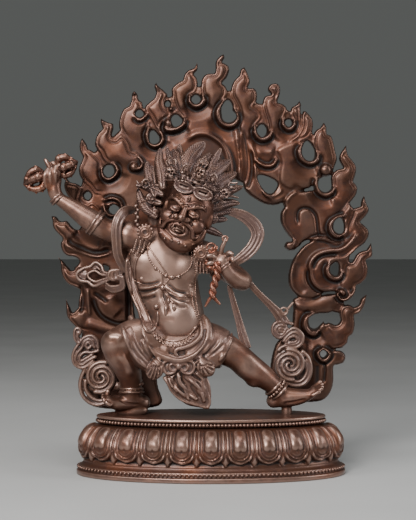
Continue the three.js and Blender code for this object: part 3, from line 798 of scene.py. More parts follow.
# Each flame: its lift, then the edge from the left root over the tip to the right root.
FLAMES = [
    (0.1, [(-28.5, 74.4), (-29.5, 75.4), (-31.4, 75.8), (-32.9, 77.7), (-34.6, 79.3), (-35.6, 80.8),
        (-35.8, 82.7), (-35.2, 84.2), (-34.6, 85.7), (-34.6, 85.7), (-35.4, 87.2), (-35.6, 88.9),
        (-35.2, 90.4), (-34.8, 91), (-34.8, 91), (-33.7, 89.4), (-33.2, 88), (-33.2, 88), (-32.1, 87.5),
        (-30.9, 86.5), (-29.5, 85), (-29.3, 83.5), (-29.4, 82), (-29, 80.1), (-26.8, 78)]),
    (0.35, [(-25.7, 83.1), (-27.5, 83.8), (-29, 85), (-29.9, 86.9), (-31.3, 88.5), (-31.3, 90.4),
        (-30.6, 92.1), (-29.3, 93.4), (-29.3, 93.4), (-29.8, 94.8), (-29.8, 96.3), (-29.8, 96.3),
        (-28.3, 95.4), (-26.4, 94.8), (-26.4, 94.8), (-26.3, 93.4), (-26.8, 91.2), (-25.9, 90.4),
        (-24.5, 91.8), (-24.5, 91.8), (-22.9, 90.8), (-21.8, 88.9), (-21.4, 87.5), (-20.1, 87),
        (-18.7, 85.7), (-18.3, 83.8), (-19, 81.9), (-20.3, 81.2), (-22, 81.8)]),
    (0.0, [(-22.5, 89.9), (-24.1, 92.1), (-24.8, 93.4), (-24.9, 95), (-24.5, 96.9), (-23.6, 98.8),
        (-22.1, 99.6), (-22.1, 99.6), (-21.5, 101.3), (-21.4, 102.8), (-20.6, 103.6), (-19.8, 102.6),
        (-19.5, 101.3), (-18.6, 100.7), (-18.6, 100.7), (-18.2, 99), (-17.8, 97.1), (-16.7, 96.1),
        (-16.3, 94.8), (-16.8, 93.4), (-17.3, 91.5), (-16.8, 89.4), (-15.2, 87.7)]),
    (0.25, [(-13.8, 90.4), (-14.1, 92.1), (-15.2, 94.2), (-16.3, 96.3), (-17.5, 97.9), (-17.8, 99.4),
        (-16.7, 100.6), (-15.4, 101.7), (-14.8, 103.2), (-14.8, 103.2), (-15.4, 104.8), (-14.8, 106),
        (-14.8, 106), (-14, 104.8), (-12.5, 103.6), (-11.7, 102.4), (-12.5, 100.6), (-12.2, 99.1),
        (-10.6, 97.8), (-10.6, 96.5), (-12.3, 95.4), (-13.3, 94.2), (-12.9, 92.1), (-12.7, 90.4)]),
    (0.0, [(-6.8, 94.2), (-8.1, 96.7), (-9.5, 98.6), (-10.3, 100.6), (-10.6, 102.5), (-10.6, 104.3),
        (-9.2, 105.7), (-7.6, 106.6), (-7.6, 106.6), (-7.3, 107.8), (-6.4, 109.1), (-4.6, 109.9),
        (-3.8, 111.4), (-3.8, 111.4), (-3.5, 110.5), (-3.7, 109), (-4.7, 108.2), (-4.7, 108.2),
        (-3.8, 107), (-3.5, 105.1), (-4.1, 103.2), (-5.7, 102.1), (-6, 100.5), (-4.9, 98)]),
    (0.3, [(-2.2, 100.2), (-2.6, 103), (-2.8, 105.1), (-2.4, 107), (-1.2, 108.2), (0.9, 108.3),
        (0.9, 108.3), (1.2, 109.7), (1.2, 111.4), (2.2, 112.9), (3.5, 113.6), (3.5, 113.6), (3.7, 112.4),
        (3, 111.4), (3, 111.4), (4.6, 110.5), (5, 109), (4.2, 107), (3, 105.7), (3, 105.7), (4.2, 104.5),
        (4.3, 102.6), (3.4, 100.9), (2, 99.1), (1.8, 96.9), (2.4, 94.8)]),
    (0.15, [(7.9, 94.8), (7.3, 98), (6.5, 100.1), (5.4, 102.1), (5.3, 104), (6.1, 106.3), (7.6, 107.8),
        (7.6, 107.8), (8, 109.4), (9.1, 110.1), (9.1, 110.1), (10, 108.2), (10.6, 106), (9.9, 104.3),
        (9.9, 104.3), (11.8, 104.3), (12.5, 102.8), (12.3, 100.6), (11.4, 99.4), (11.4, 99.4),
        (13.3, 97.9), (13.6, 96.1), (12.3, 94.4), (11.7, 92.6), (12.2, 89.9)]),
    (0.3, [(15.4, 91), (15, 94.8), (14, 98), (13.8, 100.1), (14.5, 102.1), (16.3, 102.6), (16.3, 102.6),
        (15.3, 103.7), (15.7, 105.1), (17.1, 105.7), (18.4, 105.3), (18.8, 103.7), (18.4, 101.8),
        (17.9, 100.6), (17.9, 100.6), (19.9, 99.8), (20.6, 98.4), (19.8, 96.4), (19.5, 94.2),
        (20.3, 92.1)]),
    (0.1, [(22, 93.1), (22, 95.9), (21.4, 97.6), (21.7, 99.1), (23.2, 100.1), (23.8, 101.1),
        (23.8, 101.1), (24.4, 100.1), (24.3, 98.6), (24.4, 96.7), (24.3, 93.7), (23, 91.5),
        (20.9, 89.9)]),
    (0.35, [(18.7, 86.1), (18.7, 87.7), (20.9, 90), (23.3, 91.9), (24.4, 94), (24.4, 96.4), (24.7, 97.8),
        (25.2, 98.3), (26.3, 97.6), (27.5, 95.7), (27.5, 93.1), (26.6, 91), (24.4, 89.8), (21.4, 88),
        (19.5, 86.4)]),
    (0.2, [(29, 84.5), (28.3, 86.1), (27.4, 88.8), (27.5, 91), (28.2, 92.9), (29.5, 93.8), (30.5, 95.3),
        (30.5, 95.3), (31.2, 94), (31.4, 92.1), (32.5, 91.5), (33.1, 89.9), (33.6, 87.7), (34.1, 85),
        (33.3, 82.8), (32.5, 81), (30.9, 80.4), (29.3, 81.2), (29, 82.8)]),
    (0.0, [(32.8, 74.2), (32.5, 78), (32.5, 80.7), (33.9, 82.3), (35.8, 82.8), (35.8, 82.8), (34.7, 84.7),
        (34.7, 86.1), (35.5, 87.7), (36.6, 89.1), (36.6, 89.1), (37.1, 86.4), (39, 83.9), (39.3, 81.8),
        (38.5, 79.1), (38.5, 79.1), (39.6, 77.7), (39.3, 75.5), (37.7, 73.4), (35.8, 70.9), (34.1, 69.3),
        (32.5, 68.2)]),
    (0.25, [(36.3, 64.4), (36.6, 67.4), (37.7, 70.1), (38.2, 71.7), (40.4, 72.5), (40.4, 72.5),
        (40.7, 74.2), (41.5, 75.5), (41.5, 75.5), (42, 73.6), (42.8, 71.5), (42, 69.8), (40.4, 68.2),
        (40.4, 68.2), (42.3, 66.6), (42.8, 64.7), (41.7, 62.5), (39.6, 60.9), (38.2, 59.5), (36, 58.2),
        (33.9, 57.6), (32.2, 57.4)]),
    (0.1, [(35, 53), (35.8, 54.9), (35.8, 56.2), (36.7, 57.1), (38.2, 57.4), (38.2, 57.4), (38.8, 58.5),
        (39.6, 59.7), (40.8, 60.4), (42, 60.6), (42, 60.6), (42.5, 61.4), (43.4, 62.7), (43.4, 62.7),
        (43.8, 59.8), (43.5, 58.7), (42, 57.8), (42, 57.8), (42.5, 56), (42.5, 54.4), (42, 52.8),
        (40.7, 51.5), (39.4, 50.9), (39.4, 50.9), (39.3, 49.2), (38.2, 47.6), (36.6, 46.7),
        (35.2, 46.8)]),
    (0.3, [(30.1, 38.9), (29.5, 39.4), (31, 40.6), (32, 41), (33.9, 40.4), (35, 41.4), (34.7, 43.3),
        (35.2, 44.8), (36, 45.6), (37.3, 45.9), (38.8, 45.2), (38.8, 45.2), (40, 45.9), (40.7, 47.6),
        (42.3, 48.6), (42.3, 48.6), (42, 46.8), (41.6, 45.4), (40.4, 43.6), (38.8, 42.9), (38.8, 42.9),
        (39, 41.4), (39, 39.8), (38.5, 37.9), (37.3, 37), (37.3, 37), (37, 35.4), (35.8, 34.3),
        (33.7, 33.8), (32, 33.8)]),
    (0.3, [(-28.2, 69), (-29.1, 70.9), (-30.4, 72.5), (-32.1, 73.6), (-33.9, 72.8), (-35.4, 74),
        (-35, 75.8), (-34.8, 77.4), (-36.2, 78.6), (-38.1, 79.1), (-39, 80.4), (-39, 80.4), (-39.8, 78.2),
        (-39, 75.5), (-37.1, 73.1), (-35, 70.4)]),
    (0.2, [(-33.9, 55.7), (-36.3, 58.5), (-38.8, 58.9), (-40.2, 60.1), (-40.8, 62.3), (-40.2, 63.6),
        (-41.5, 65), (-42.7, 66.6), (-43, 68.6), (-43.2, 69.8), (-41.9, 69.7), (-40.7, 68.5),
        (-38.9, 68.5), (-37.3, 66.7), (-34.4, 64.4)]),
    (0.1, [(-32.8, 49.2), (-37.1, 50.6), (-38.8, 51.4), (-40.2, 53.2), (-40.7, 55.3), (-40.9, 57.4),
        (-41.7, 58.9), (-41.7, 58.9), (-40.2, 57.8), (-38.8, 56.3), (-37.5, 55.1), (-35.8, 56.6),
        (-33.3, 55.2)]),
    (0.1, [(-32.2, 37.9), (-35.5, 38.7), (-37.4, 40.3), (-38.9, 42.2), (-39.3, 44.1), (-39.4, 47.6),
        (-39.4, 47.6), (-38.2, 45.3), (-37.4, 43.7), (-36.2, 44.9), (-34.8, 45.4), (-32.8, 44.9)]),
]

# Eye holes: the edge of each.
HOLES = [
    [(-33.3, 76.3), (-32.4, 75.3), (-33.3, 74.2), (-34.3, 75.3)],
    [(-26.3, 72.8), (-24.9, 71.6), (-26.3, 70.4), (-27.6, 71.6)],
    [(-28.2, 83.3), (-27.1, 83.4), (-26.3, 82.3), (-26.6, 81.1), (-27.6, 80.4), (-28.7, 81.1),
        (-29, 82.3)],
    [(-19.3, 98.4), (-18.3, 97.4), (-19.3, 96.5), (-20.3, 97.4)],
    [(-15.6, 92.9), (-14.8, 92.1), (-14, 90.8), (-14.4, 89.8), (-15.4, 89.4), (-16.3, 89.8),
        (-16.5, 90.8), (-16.4, 92.3)],
    [(-11.7, 100.8), (-11, 100), (-11.7, 99.3), (-12.4, 100)],
    [(-9.8, 97.1), (-8.7, 96.7), (-7.9, 95.6), (-8.3, 94.6), (-9.6, 94), (-10.4, 94.8), (-10.6, 96.1)],
    [(-4.1, 102.5), (-2.9, 101.3), (-4.1, 100.1), (-5.2, 101.3)],
    [(4.6, 101.1), (5.7, 99.6), (5.8, 98.2), (6.8, 96.9), (6.1, 95.7), (4.6, 95.2), (3.4, 95.9),
        (3, 97.3), (3.1, 99.4)],
    [(13.8, 94.5), (15, 92.9), (13.8, 91.2), (12.5, 92.9)],
    [(21, 95.9), (21.8, 95), (21, 94), (20.1, 95)],
    [(25.9, 90), (27.4, 88.5), (28, 86.8), (27.4, 85), (25.9, 85), (24.8, 86.4), (24.8, 88.3)],
    [(12.7, 80.6), (14.1, 80.7), (16.5, 79.8), (17.9, 78.6), (17.6, 77.4), (16.5, 76.1), (15.2, 76.2),
        (13.8, 77.7), (12.9, 79.3)],
    [(30.9, 79.8), (32.5, 78.5), (32.2, 77), (30.8, 76.4), (29.4, 77.2), (29.2, 78.8)],
    [(35, 69.2), (35.8, 67.7), (35.8, 65.8), (35, 65.1), (33.6, 65.8), (33.2, 67.1), (33.7, 68.5)],
    [(33.9, 57.2), (34.5, 56.3), (34.4, 54.7), (33.9, 53.8), (32.8, 54.3), (32.3, 55.2), (32.7, 56.3)],
    [(26.8, 42.2), (28.7, 43.2), (30.6, 43.2), (30.8, 42.1), (29.8, 40.6), (28.3, 39.4), (27.1, 39.8),
        (26.6, 41)],
    [(32.8, 43.1), (33.9, 43.6), (34.4, 42.5), (34.1, 41.4), (33.1, 42.1)],
    [(30.4, 33.4), (31.3, 32.5), (30.4, 31.6), (29.6, 32.5)],
    [(-38.9, 58.5), (-37.9, 58.8), (-36.2, 58.2), (-35.8, 57.2), (-37.3, 55.9), (-38.3, 57)],
    [(-28.9, 56.4), (-27.6, 55.7), (-28.2, 54.9), (-29, 55.5)],
]

# Round rings that curl under the eye holes: radius, level, path.
RINGS = [
    (0.62, 0.55, [(-29.4, 82.6), (-29.1, 80.8), (-27.9, 79.7), (-26.3, 80.3), (-25.3, 81.6),
        (-25.5, 83.1), (-26.3, 83.9)]),
    (0.62, 0.3, [(-20.5, 96.7), (-19.4, 95.7), (-18.2, 96.2), (-17.3, 97.3)]),
    (0.65, 0.45, [(-16.8, 93.7), (-17.3, 91.7), (-16.7, 89.6), (-15.2, 88.6), (-13.6, 89.3), (-13, 90.8),
        (-13.3, 92.1)]),
    (0.85, 0.55, [(-11.5, 94.6), (-12.2, 93.8), (-11.2, 93), (-9.2, 93.3), (-7.6, 94.5), (-7, 96)]),
    (0.8, 0.55, [(-5.7, 102.1), (-5.6, 100.6), (-4.2, 99.4), (-2.7, 99.9), (-2, 101), (-2.2, 102.5)]),
    (0.8, 0.55, [(3.7, 100.9), (2.4, 99.1), (1.8, 97.1), (2.8, 95), (4.6, 94.1), (6.3, 94.6), (7.1, 96.1),
        (6.6, 98.2)]),
    (0.8, 0.5, [(11.8, 94), (12.2, 91.7), (13.7, 90.5), (15.4, 91), (16.4, 92.6)]),
    (0.7, 0.5, [(19.4, 96), (19.6, 94.2), (20.9, 93.2), (22.2, 94), (22.5, 95.7)]),
    (0.85, 0.55, [(24.6, 89.1), (23.8, 87.3), (24.5, 85.2), (26.6, 84.1), (28.5, 84.9), (28.8, 86.6)]),
    (0.8, 0.5, [(28.6, 80), (28.3, 78.2), (29.1, 76.4), (30.8, 75.5), (32.4, 76.1), (33.2, 77.3)]),
    (0.8, 0.45, [(36.3, 70.1), (34.4, 69.3), (32.7, 68.3), (32.1, 66.7), (32.8, 65.1), (34.3, 64.3),
        (35.6, 65)]),
    (0.8, 0.45, [(32, 57.2), (31.4, 55.3), (31.8, 53.8), (33.1, 53), (34.6, 53.2), (35.5, 54.7)]),
    (1.0, 0.6, [(27.5, 43.4), (25.9, 42.2), (25.4, 40.3), (26.3, 38.6), (27.8, 38.1), (29.3, 39.1)]),
    (0.8, 0.9, [(30.4, 34.2), (28.9, 32.5), (30.4, 30.8), (32, 32.5), (30.4, 34.2)]),
    (0.5, 0.35, [(-29, 74), (-26.8, 74.6), (-24.9, 74), (-24.1, 72.5), (-24.4, 70.9), (-25.3, 70.2)]),
    (0.5, 0.4, [(-29, 72.5), (-28.3, 70.9), (-27, 69.9), (-25.3, 70.3)]),
    (0.6, 0.5, [(12.1, 84.9), (13.6, 83.7), (15.4, 83.2), (16.8, 83.7), (17.6, 85.2)]),
    (0.5, 0.6, [(34.1, 48.7), (35.1, 47.3), (36.7, 47.2), (38.1, 48.4), (38.8, 50.3)]),
]

# Buttons: middle, radius and height.
BUTTONS = [
    ((-11.4, 94.8), 1.2, 1.35), ((-20.8, 83), 1.25, 1.3), ((30.9, 82.2), 1.7, 1.5),
    ((21.5, 62.1), 1.3, 1.3), ((35.4, 49), 1.0, 1.5), ((-10.8, 98.6), 0.6, 0.9), ((-20.6, 103.2), 0.8, 0.7),
]
# Coils round three of them: middle, radius, turns, first angle, whether clockwise, thickness and level.
COILS = [
    ((-20.3, 83.7), 2.1, 0.75, 80, True, 0.5, 0.75), ((35.5, 48.8), 1.9, 0.9, 20, True, 0.4, 0.8),
    ((21.5, 62), 1.6, 0.8, 40, False, 0.45, 0.7),
]

# Ridges and grooves over the broad areas: half-width, height, path.
STROKES = [
    # long bands that run round the head
    (1.3, 0.55, [(-7.3, 90.4), (-3, 92.1), (0.8, 91.2), (3.8, 88.3), (4.9, 83.4), (4.3, 79.6)]),
    (0.5, -0.5, [(-0.8, 92.9), (3, 90.4), (5.7, 86.1), (6.5, 81.8), (6, 78.5)]),
    (1.1, 0.5, [(6.2, 95.3), (7.3, 89.9), (8.1, 84.5), (7.6, 79.6)]),
    (0.5, -0.5, [(8.7, 93.1), (9.5, 88.8), (10, 83.4), (9.2, 78)]),
    (0.9, 0.4, [(10.6, 91), (11.9, 85.6), (12.2, 81.2), (13.8, 78), (15.4, 75.3), (17.6, 74.2),
        (20.9, 75.3)]),
    (0.6, -0.6, [(10.6, 87.7), (11.1, 83.4), (10.6, 79.6), (9.5, 76.9)]),
    (0.45, 0.35, [(13.8, 76.9), (14.9, 75.4), (16.8, 75.1), (18.6, 76.1), (19.1, 77.3)]),
    # soft dishes under the rings
    (2.6, -0.5, [(-6.8, 100.2), (-4.9, 98), (-2.2, 98.6), (-0.5, 100.5)]),
    (2.4, -0.5, [(0.8, 96.4), (2.4, 93.1), (5.1, 92.3), (7.9, 94.2)]),
    (2.4, -0.5, [(10.8, 92.1), (12.7, 89.1), (15.7, 89.4), (17.6, 91.5)]),
    (2.0, -0.4, [(19, 93.1), (20.9, 91.8), (23, 93.1)]),
    (2.6, -0.5, [(23, 85.6), (25.5, 82.6), (28.7, 82.8)]),
    (2.4, -0.5, [(27.4, 77.4), (29.5, 74.2), (32.8, 74.4)]),
    (2.2, -0.5, [(30.9, 65.5), (33.1, 63.1), (36.3, 63.3)]),
    (2.4, -0.45, [(30.1, 54.1), (32.2, 51.4), (35.5, 51.7)]),
    (2.6, -0.5, [(24.1, 38.9), (26.8, 36.2), (30.6, 37.9)]),
    (2.6, -0.5, [(-30.1, 80.1), (-28.5, 78), (-25.2, 78.5), (-23.8, 81.8)]),
    (2.2, -0.5, [(-18.2, 89.9), (-16, 87.2), (-12.7, 87.7), (-11.7, 90.4)]),
    (2.4, -0.5, [(-12.7, 92.6), (-9.5, 91.2), (-6, 93.7)]),
    (2.0, 0.4, [(12.2, 87.2), (14.4, 88), (17.1, 87.2)]),
    # the cheek of the upper scroll
    (0.5, -0.9, [(23.6, 67.1), (23.3, 69.6), (23.8, 71.3), (25.2, 72), (26.8, 71.6), (28.2, 70.1),
        (28.7, 67.7), (29, 65.5), (30.1, 63.6)]),
    (0.5, 0.3, [(23.3, 76.5), (21.4, 75.3), (20.2, 73.4)]),
    (0.6, 0.35, [(20.1, 72.3), (19.4, 70.4), (19.5, 67.9), (20.6, 65.8), (22.2, 63.9)]),
    # the swelling ridges of the lower scroll
    (0.8, 0.75, [(22.2, 57.6), (23.2, 59.5), (25.1, 61.7), (27.1, 63.1), (29, 63.8), (30.9, 63.7),
        (32.5, 62.9), (34.1, 62.5), (35.9, 63.3)]),
    (0.55, -0.7, [(23.6, 61.2), (25.7, 63.3), (28.5, 64.6), (31.2, 64.4)]),
    (0.9, 0.95, [(26.4, 54.7), (26.6, 56.3), (27.2, 57.9), (28.3, 59.1), (29.8, 59.9), (32, 60.4),
        (34.4, 60.6), (35.9, 61.3), (37.4, 62.5), (38.8, 64.3), (39.6, 65.8)]),
    (0.6, -0.7, [(27.6, 55.2), (28.2, 57.1), (29.5, 58.6), (31.7, 59.3), (34.4, 59.5)]),
    (0.7, 0.5, [(27.1, 56.8), (26.9, 54.4), (27.5, 52.2), (29, 50.5), (30.9, 49.8), (32.8, 49.9),
        (34.1, 50.5)]),
    (0.6, -1.0, [(26.2, 55.7), (26.2, 53), (27.1, 51), (28.7, 49.6), (30.9, 48.8), (33.3, 49)]),
    (0.7, 0.45, [(40.7, 61.8), (38.6, 60.5), (37.3, 59.1), (35.8, 58.3), (33.7, 58.2), (32.2, 57.8),
        (31.7, 56.8)]),
    (1.6, -0.35, [(23.8, 57.4), (23.3, 54.1), (23.8, 50.9), (25.7, 49)]),
    # the right leg: a narrow panel beside the edge
    (0.4, -0.8, [(30.6, 30.3), (30.8, 27.8), (30.5, 24.6)]),
    (1.2, -0.4, [(29, 29.7), (29, 24.3)]),
    (0.45, 0.4, [(32.2, 32.7), (33.9, 33.1), (35.5, 32.8), (36.2, 31.6), (35.5, 30.3)]),
    (1.4, -0.3, [(25.7, 36.8), (26.3, 33), (25.2, 28.1)]),
    # the left side
    (0.45, 0.5, [(-39.8, 62.3), (-36.6, 60.8), (-33.3, 59.5), (-30.4, 59), (-26.8, 59.9)]),
    (0.9, -0.9, [(-38.2, 64.4), (-37.9, 62.8), (-35, 61.2), (-31.2, 59.9), (-26.8, 60.9)]),
    (2.6, -0.6, [(-37.1, 65.5), (-33.9, 62.8), (-29.5, 61.7)]),
    (0.6, -0.7, [(-35.2, 51.4), (-34.7, 47.1), (-35.2, 43.3)]),
    (0.7, -0.8, [(-32, 48.2), (-31.2, 45.4), (-29.8, 43), (-27.4, 41.4), (-24.4, 40.6), (-22.2, 41.1)]),
    (2.6, 0.35, [(-27.9, 48.2), (-26.8, 45.4), (-24.9, 43.3)]),
    (0.6, -0.6, [(-31.7, 49.2), (-29.8, 47.9), (-27.9, 46.4)]),
    (0.8, -1.1, [(-22.4, 52.5), (-22.2, 46.5), (-22.2, 41.1)]),
    (1.6, 0.4, [(-33.9, 41.1), (-30.1, 39.8), (-25.2, 38.4)]),
    (0.6, 0.35, [(-33.3, 50.3), (-33.1, 46), (-32.8, 42.7)]),
]


def flame_face(gap):
    """The border of a flame: a round edge, a dark line and then the gently domed face."""
    return np.interp(gap, [0, 0.2, 0.42, 0.62, 0.84, 1.0, 1.2, 1.5, 3.2],
                     [-0.8, -0.25, 0.06, -0.08, -0.62, -0.42, 0.06, 0.02, 0.16])


def round_edge(gap, edge):
    """A quarter round that rises from 0 at the outline to 1 at a distance of edge."""
    return np.sqrt(np.clip(1 - (1 - np.clip(gap / edge, 0, 1)) ** 2, 0, 1))


def depth_in(spots, relief, area, reach):
    """The spots in and near an area, and how far inside its outline each lies."""
    line = smooth(area, closed=True)
    some = relief.near(line, reach)
    gap = gaps(spots[some], line)[0]
    return some, np.where(inside(spots[some], line), gap, -gap)


def plate_edge(spots):
    """How far inside the plate's outline each spot lies. It is below zero outside."""
    relief = Relief(spots)
    depth = np.full(len(spots), -9.0)
    areas = [LEFT_PLATE, ARCH_BAND, LOBE, SCROLL_HEAD, LOWER_SCROLL, PILLOW, RIGHT_LEG, BRIDGE]
    for area in [*areas, *(edge for _, edge in FLAMES)]:
        some, within = depth_in(spots, relief, area, 1.0)
        depth[some] = np.maximum(depth[some], within)
    for radius, _, path in RINGS:
        line = smooth(path)
        some = relief.near(line, 2.0)
        depth[some] = np.maximum(depth[some], radius - gaps(spots[some], line)[0])
    for area in HOLES:
        some, within = depth_in(spots, relief, area, 4.0)
        depth[some] = np.minimum(depth[some], -within)
    return depth


def lay_area(relief, area, lift, edge=0.9, dome=0.0):
    """A raised area with a rolled edge."""
    line = smooth(area, closed=True)
    some = relief.near(line, 0.1)
    some = some[inside(relief.spots[some], line)]
    gap = gaps(relief.spots[some], line)[0]
    relief.height[some] = lift + 0.8 * (round_edge(gap, edge) - 1) + dome * np.minimum(gap / 3.5, 1)


def lay_flame(relief, lift, edge):
    """A flame over what lies behind it. It runs into that at its root."""
    line = smooth(edge)
    ring = np.vstack([line, line[:1]])
    some = relief.near(ring, 0.1)
    some = some[inside(relief.spots[some], ring)]
    spots = relief.spots[some]
    face = lift + flame_face(gaps(spots, line)[0])
    from_root = gaps(spots, np.array([line[-1], line[0]]))[0]
    relief.height[some] += ease(from_root, 0.2, 3.2) * (face - relief.height[some])


def chase_plate(relief):
    """The plate's forms, from the ones behind to the ones in front, and the lines on them."""
    lay_area(relief, LEFT_PLATE, -0.15)
    lay_area(relief, BRIDGE, -0.3)
    lay_area(relief, ARCH_BAND, -0.1, 1.2)
    lay_area(relief, RIGHT_LEG, -0.1, 1.0)
    for flame in FLAMES[:4] + FLAMES[15:] + FLAMES[4:12]:
        lay_flame(relief, *flame)
    lay_area(relief, LOBE, 0.35, 1.0)
    lay_flame(relief, *FLAMES[10])
    lay_flame(relief, *FLAMES[14])
    lay_area(relief, PILLOW, 0.25, 2.2, 0.2)
    lay_area(relief, LOWER_SCROLL, 0.1, 1.2)
    lay_area(relief, SCROLL_HEAD, 0.25, 0.9)
    for flame in FLAMES[11:14]:
        lay_flame(relief, *flame)
    for wide, high, path in STROKES:
        relief.stroke(path, wide, high, sharp=1.5, taper=0.12)
    for radius, _, path in RINGS:
        relief.stroke(path, radius + 0.75, -0.75, sharp=0.8, taper=0.1)
    for radius, level, path in RINGS:
        relief.tube(path, radius, level)
    for centre, radius, high in BUTTONS:
        relief.boss(centre, (radius + 0.4,) * 2, -0.5)
        relief.boss(centre, (radius,) * 2, radius * 0.7, level=high - radius * 0.7)
    for centre, start, turns, angle, clockwise, radius, level in COILS:
        relief.tube(spiral(centre, start, 0.9, turns, angle, clockwise), radius, level, straight=True)


def flame_aureole():
    low, high = SHEET
    across, up = ((high - low) / GRID).astype(int).tolist()
    mesh = bpy.data.meshes.new("sheet")
    with editing(mesh) as bm:
        bmesh.ops.create_grid(bm, x_segments=across, y_segments=up, size=0.5)
    depth = plate_edge(low + (Clay(mesh).co[:, :2] + 0.5) * (high - low))

    # keep the cells on the plate, and draw the outermost points on to its outline
    with editing(mesh) as bm:
        bm.verts.ensure_lookup_table()
        outside = [bm.verts[i] for i in np.nonzero(depth < -0.55 * GRID)[0]]
        bmesh.ops.delete(bm, geom=outside, context="VERTS")
    clay = Clay(mesh)
    spots = low + (clay.co[:, :2] + 0.5) * (high - low)
    for _ in range(2):
        depth = plate_edge(spots)
        edge = depth < 0.45 * GRID
        slope = np.stack([plate_edge(spots[edge] + step) - depth[edge]
                          for step in ((NUDGE, 0), (0, NUDGE))], 1) / NUDGE
        slope /= np.linalg.norm(slope, axis=1).clip(0.3)[:, None]
        spots[edge] -= slope * depth[edge].clip(-GRID, GRID)[:, None]
    depth = plate_edge(spots)
    relief = Relief(spots)
    chase_plate(relief)
    for _ in range(2):
        relief.height = 0.45 * relief.height + 0.55 * clay.mean(relief.height)

    rim = 0.35 + 0.65 * round_edge(depth, 0.55)
    front = PLATE_Y - (PLATE_HALF + relief.height.clip(-1.1, 1.7)) * rim
    back = PLATE_Y + (PLATE_HALF + 0.3 * relief.height.clip(-1.1, 0.6)) * rim
    reach = (PLATE_Y - EYE[1]) / -EYE[1]
    x = EYE[0] + (spots[:, 0] - EYE[0]) * reach
    z = EYE[2] + (spots[:, 1] - EYE[2]) * reach

    # give the sheet its back: every point has a twin there with the same number
    number = mesh.attributes.new("number", "INT", "POINT")
    number.data.foreach_set("value", np.arange(len(spots), dtype=np.int32))
    with editing(mesh) as bm:
        bmesh.ops.solidify(bm, geom=bm.faces[:], thickness=0.01)
    clay = Clay(mesh)
    twin = np.empty(len(clay.co), np.int32)
    mesh.attributes["number"].data.foreach_get("value", twin)
    deep = np.where(np.abs(clay.co[:, 2]) < 0.005, front[twin], back[twin])
    clay.co = np.stack([x[twin], deep, z[twin]], 1)
    clay.write()
    with editing(mesh) as bm:
        bmesh.ops.recalc_face_normals(bm, faces=bm.faces[:])
    clay = Clay(mesh)
    clay.relax(4)
    piece("flame_plate", clay,
          aged_copper("flame_copper", warm=0.75, shine=0.46, wear=0.12, dark=0.46, metal=0.93),
          "flame_aureole", most=185_000, hollows=(0.9, 1.1))


flame_aureole()


# Body

# Limbs, as rows of place, half-width and half-depth.
LIMBS = [
    # trunk and neck
    [(-8.1, -0.5, 33, 8, 5), (-8.7, -1, 40.6, 7.4, 6), (-11.6, -0.6, 50.4, 8.5, 5.6),
        (-12.9, -0.5, 58.5, 9.7, 5.2), (-11.6, -1, 63.3, 6.6, 4)],
    [(-11.1, -1.5, 61.7, 4.6, 4.2), (-8.9, -3.5, 66.1, 4.4, 4.2)],
    # the bent leg's thigh and shin
    [(-13.2, -1, 36, 5.8, 5.2), (-19.6, -4.5, 37.1, 5.4, 5.2), (-24.5, -7.2, 36.3, 4.2, 4.2)],
    [(-26, -7.7, 35.8, 3.4, 3.6), (-24.9, -6.6, 33, 3.6, 4), (-22.8, -4.6, 29.6, 3.7, 3.9),
        (-21.7, -2.4, 25.9, 3.2, 3.3), (-21.5, -1.1, 22.5, 2.8, 2.8), (-21.5, -0.4, 19.8, 2.9, 2.8)],
    # the long leg's thigh and shin
    [(-3.8, -1, 36.3, 5.8, 5.2), (3, -2, 34.2, 4.6, 4.6), (7.8, -2.4, 31.6, 3.7, 3.9)],
    [(6.7, -2.4, 32.4, 3.7, 3.9), (10.2, -2.2, 29.1, 3.8, 4.2), (13.8, -1.4, 26.6, 3.3, 3.5),
        (16.8, -0.6, 24.1, 2.7, 2.8), (19.2, 0, 21.6, 2.5, 2.6)],
    # feet
    [(-18.5, 0.6, 19.4, 1.9, 2.2), (-21.1, -0.2, 19.7, 2.7, 2.7), (-24, -1.4, 19.1, 2.1, 2.6),
        (-26.4, -2.2, 19.3, 1.7, 2.7), (-28, -2.6, 20.3, 1.3, 2.5)],
    [(17.6, 0.6, 19.9, 2.2, 2.2), (20.3, 0, 20.5, 2.7, 2.7), (23.8, -0.3, 20.8, 2.3, 2.6),
        (26.5, -0.5, 21.4, 1.6, 2.6), (28.1, -0.6, 22.5, 1.2, 2.2)],
    # raised arm
    [(-18.4, -0.5, 63.6, 3.9, 3.6), (-23, -0.7, 64.7, 3.6, 3.6), (-27.6, -1, 65.8, 3.1, 3.1),
        (-30.2, -1.4, 67.1, 3.1, 3.1), (-32.1, -1.6, 68.5, 3.15, 3.1), (-34.5, -1.8, 70.1, 2.85, 2.8),
        (-38, -2, 72.5, 2.2, 2.2), (-41, -2.1, 74.4, 1.75, 1.7)],
    # lowered arm and its forearm
    [(-3, -0.5, 59, 3.9, 3.6), (0.8, -0.8, 57.1, 3.4, 3.3), (4.6, -1.4, 55, 3.2, 3.1),
        (8.4, -2.2, 52.3, 2.9, 2.9)],
    [(8.6, -2.2, 52.3, 2.7, 2.8), (6.7, -4, 52.9, 2.6, 2.6), (4.5, -6.2, 54.9, 2.1, 2.1),
        (3.5, -7, 56.5, 2, 1.9)],
    # fist
    [(-41.2, -2.1, 74.4, 1.8, 1.7), (-42.2, -2.3, 76.6, 2, 1.8), (-42.2, -2.2, 79, 1.85, 1.7),
        (-42.2, -2.1, 81.1, 1.5, 1.6)],
]

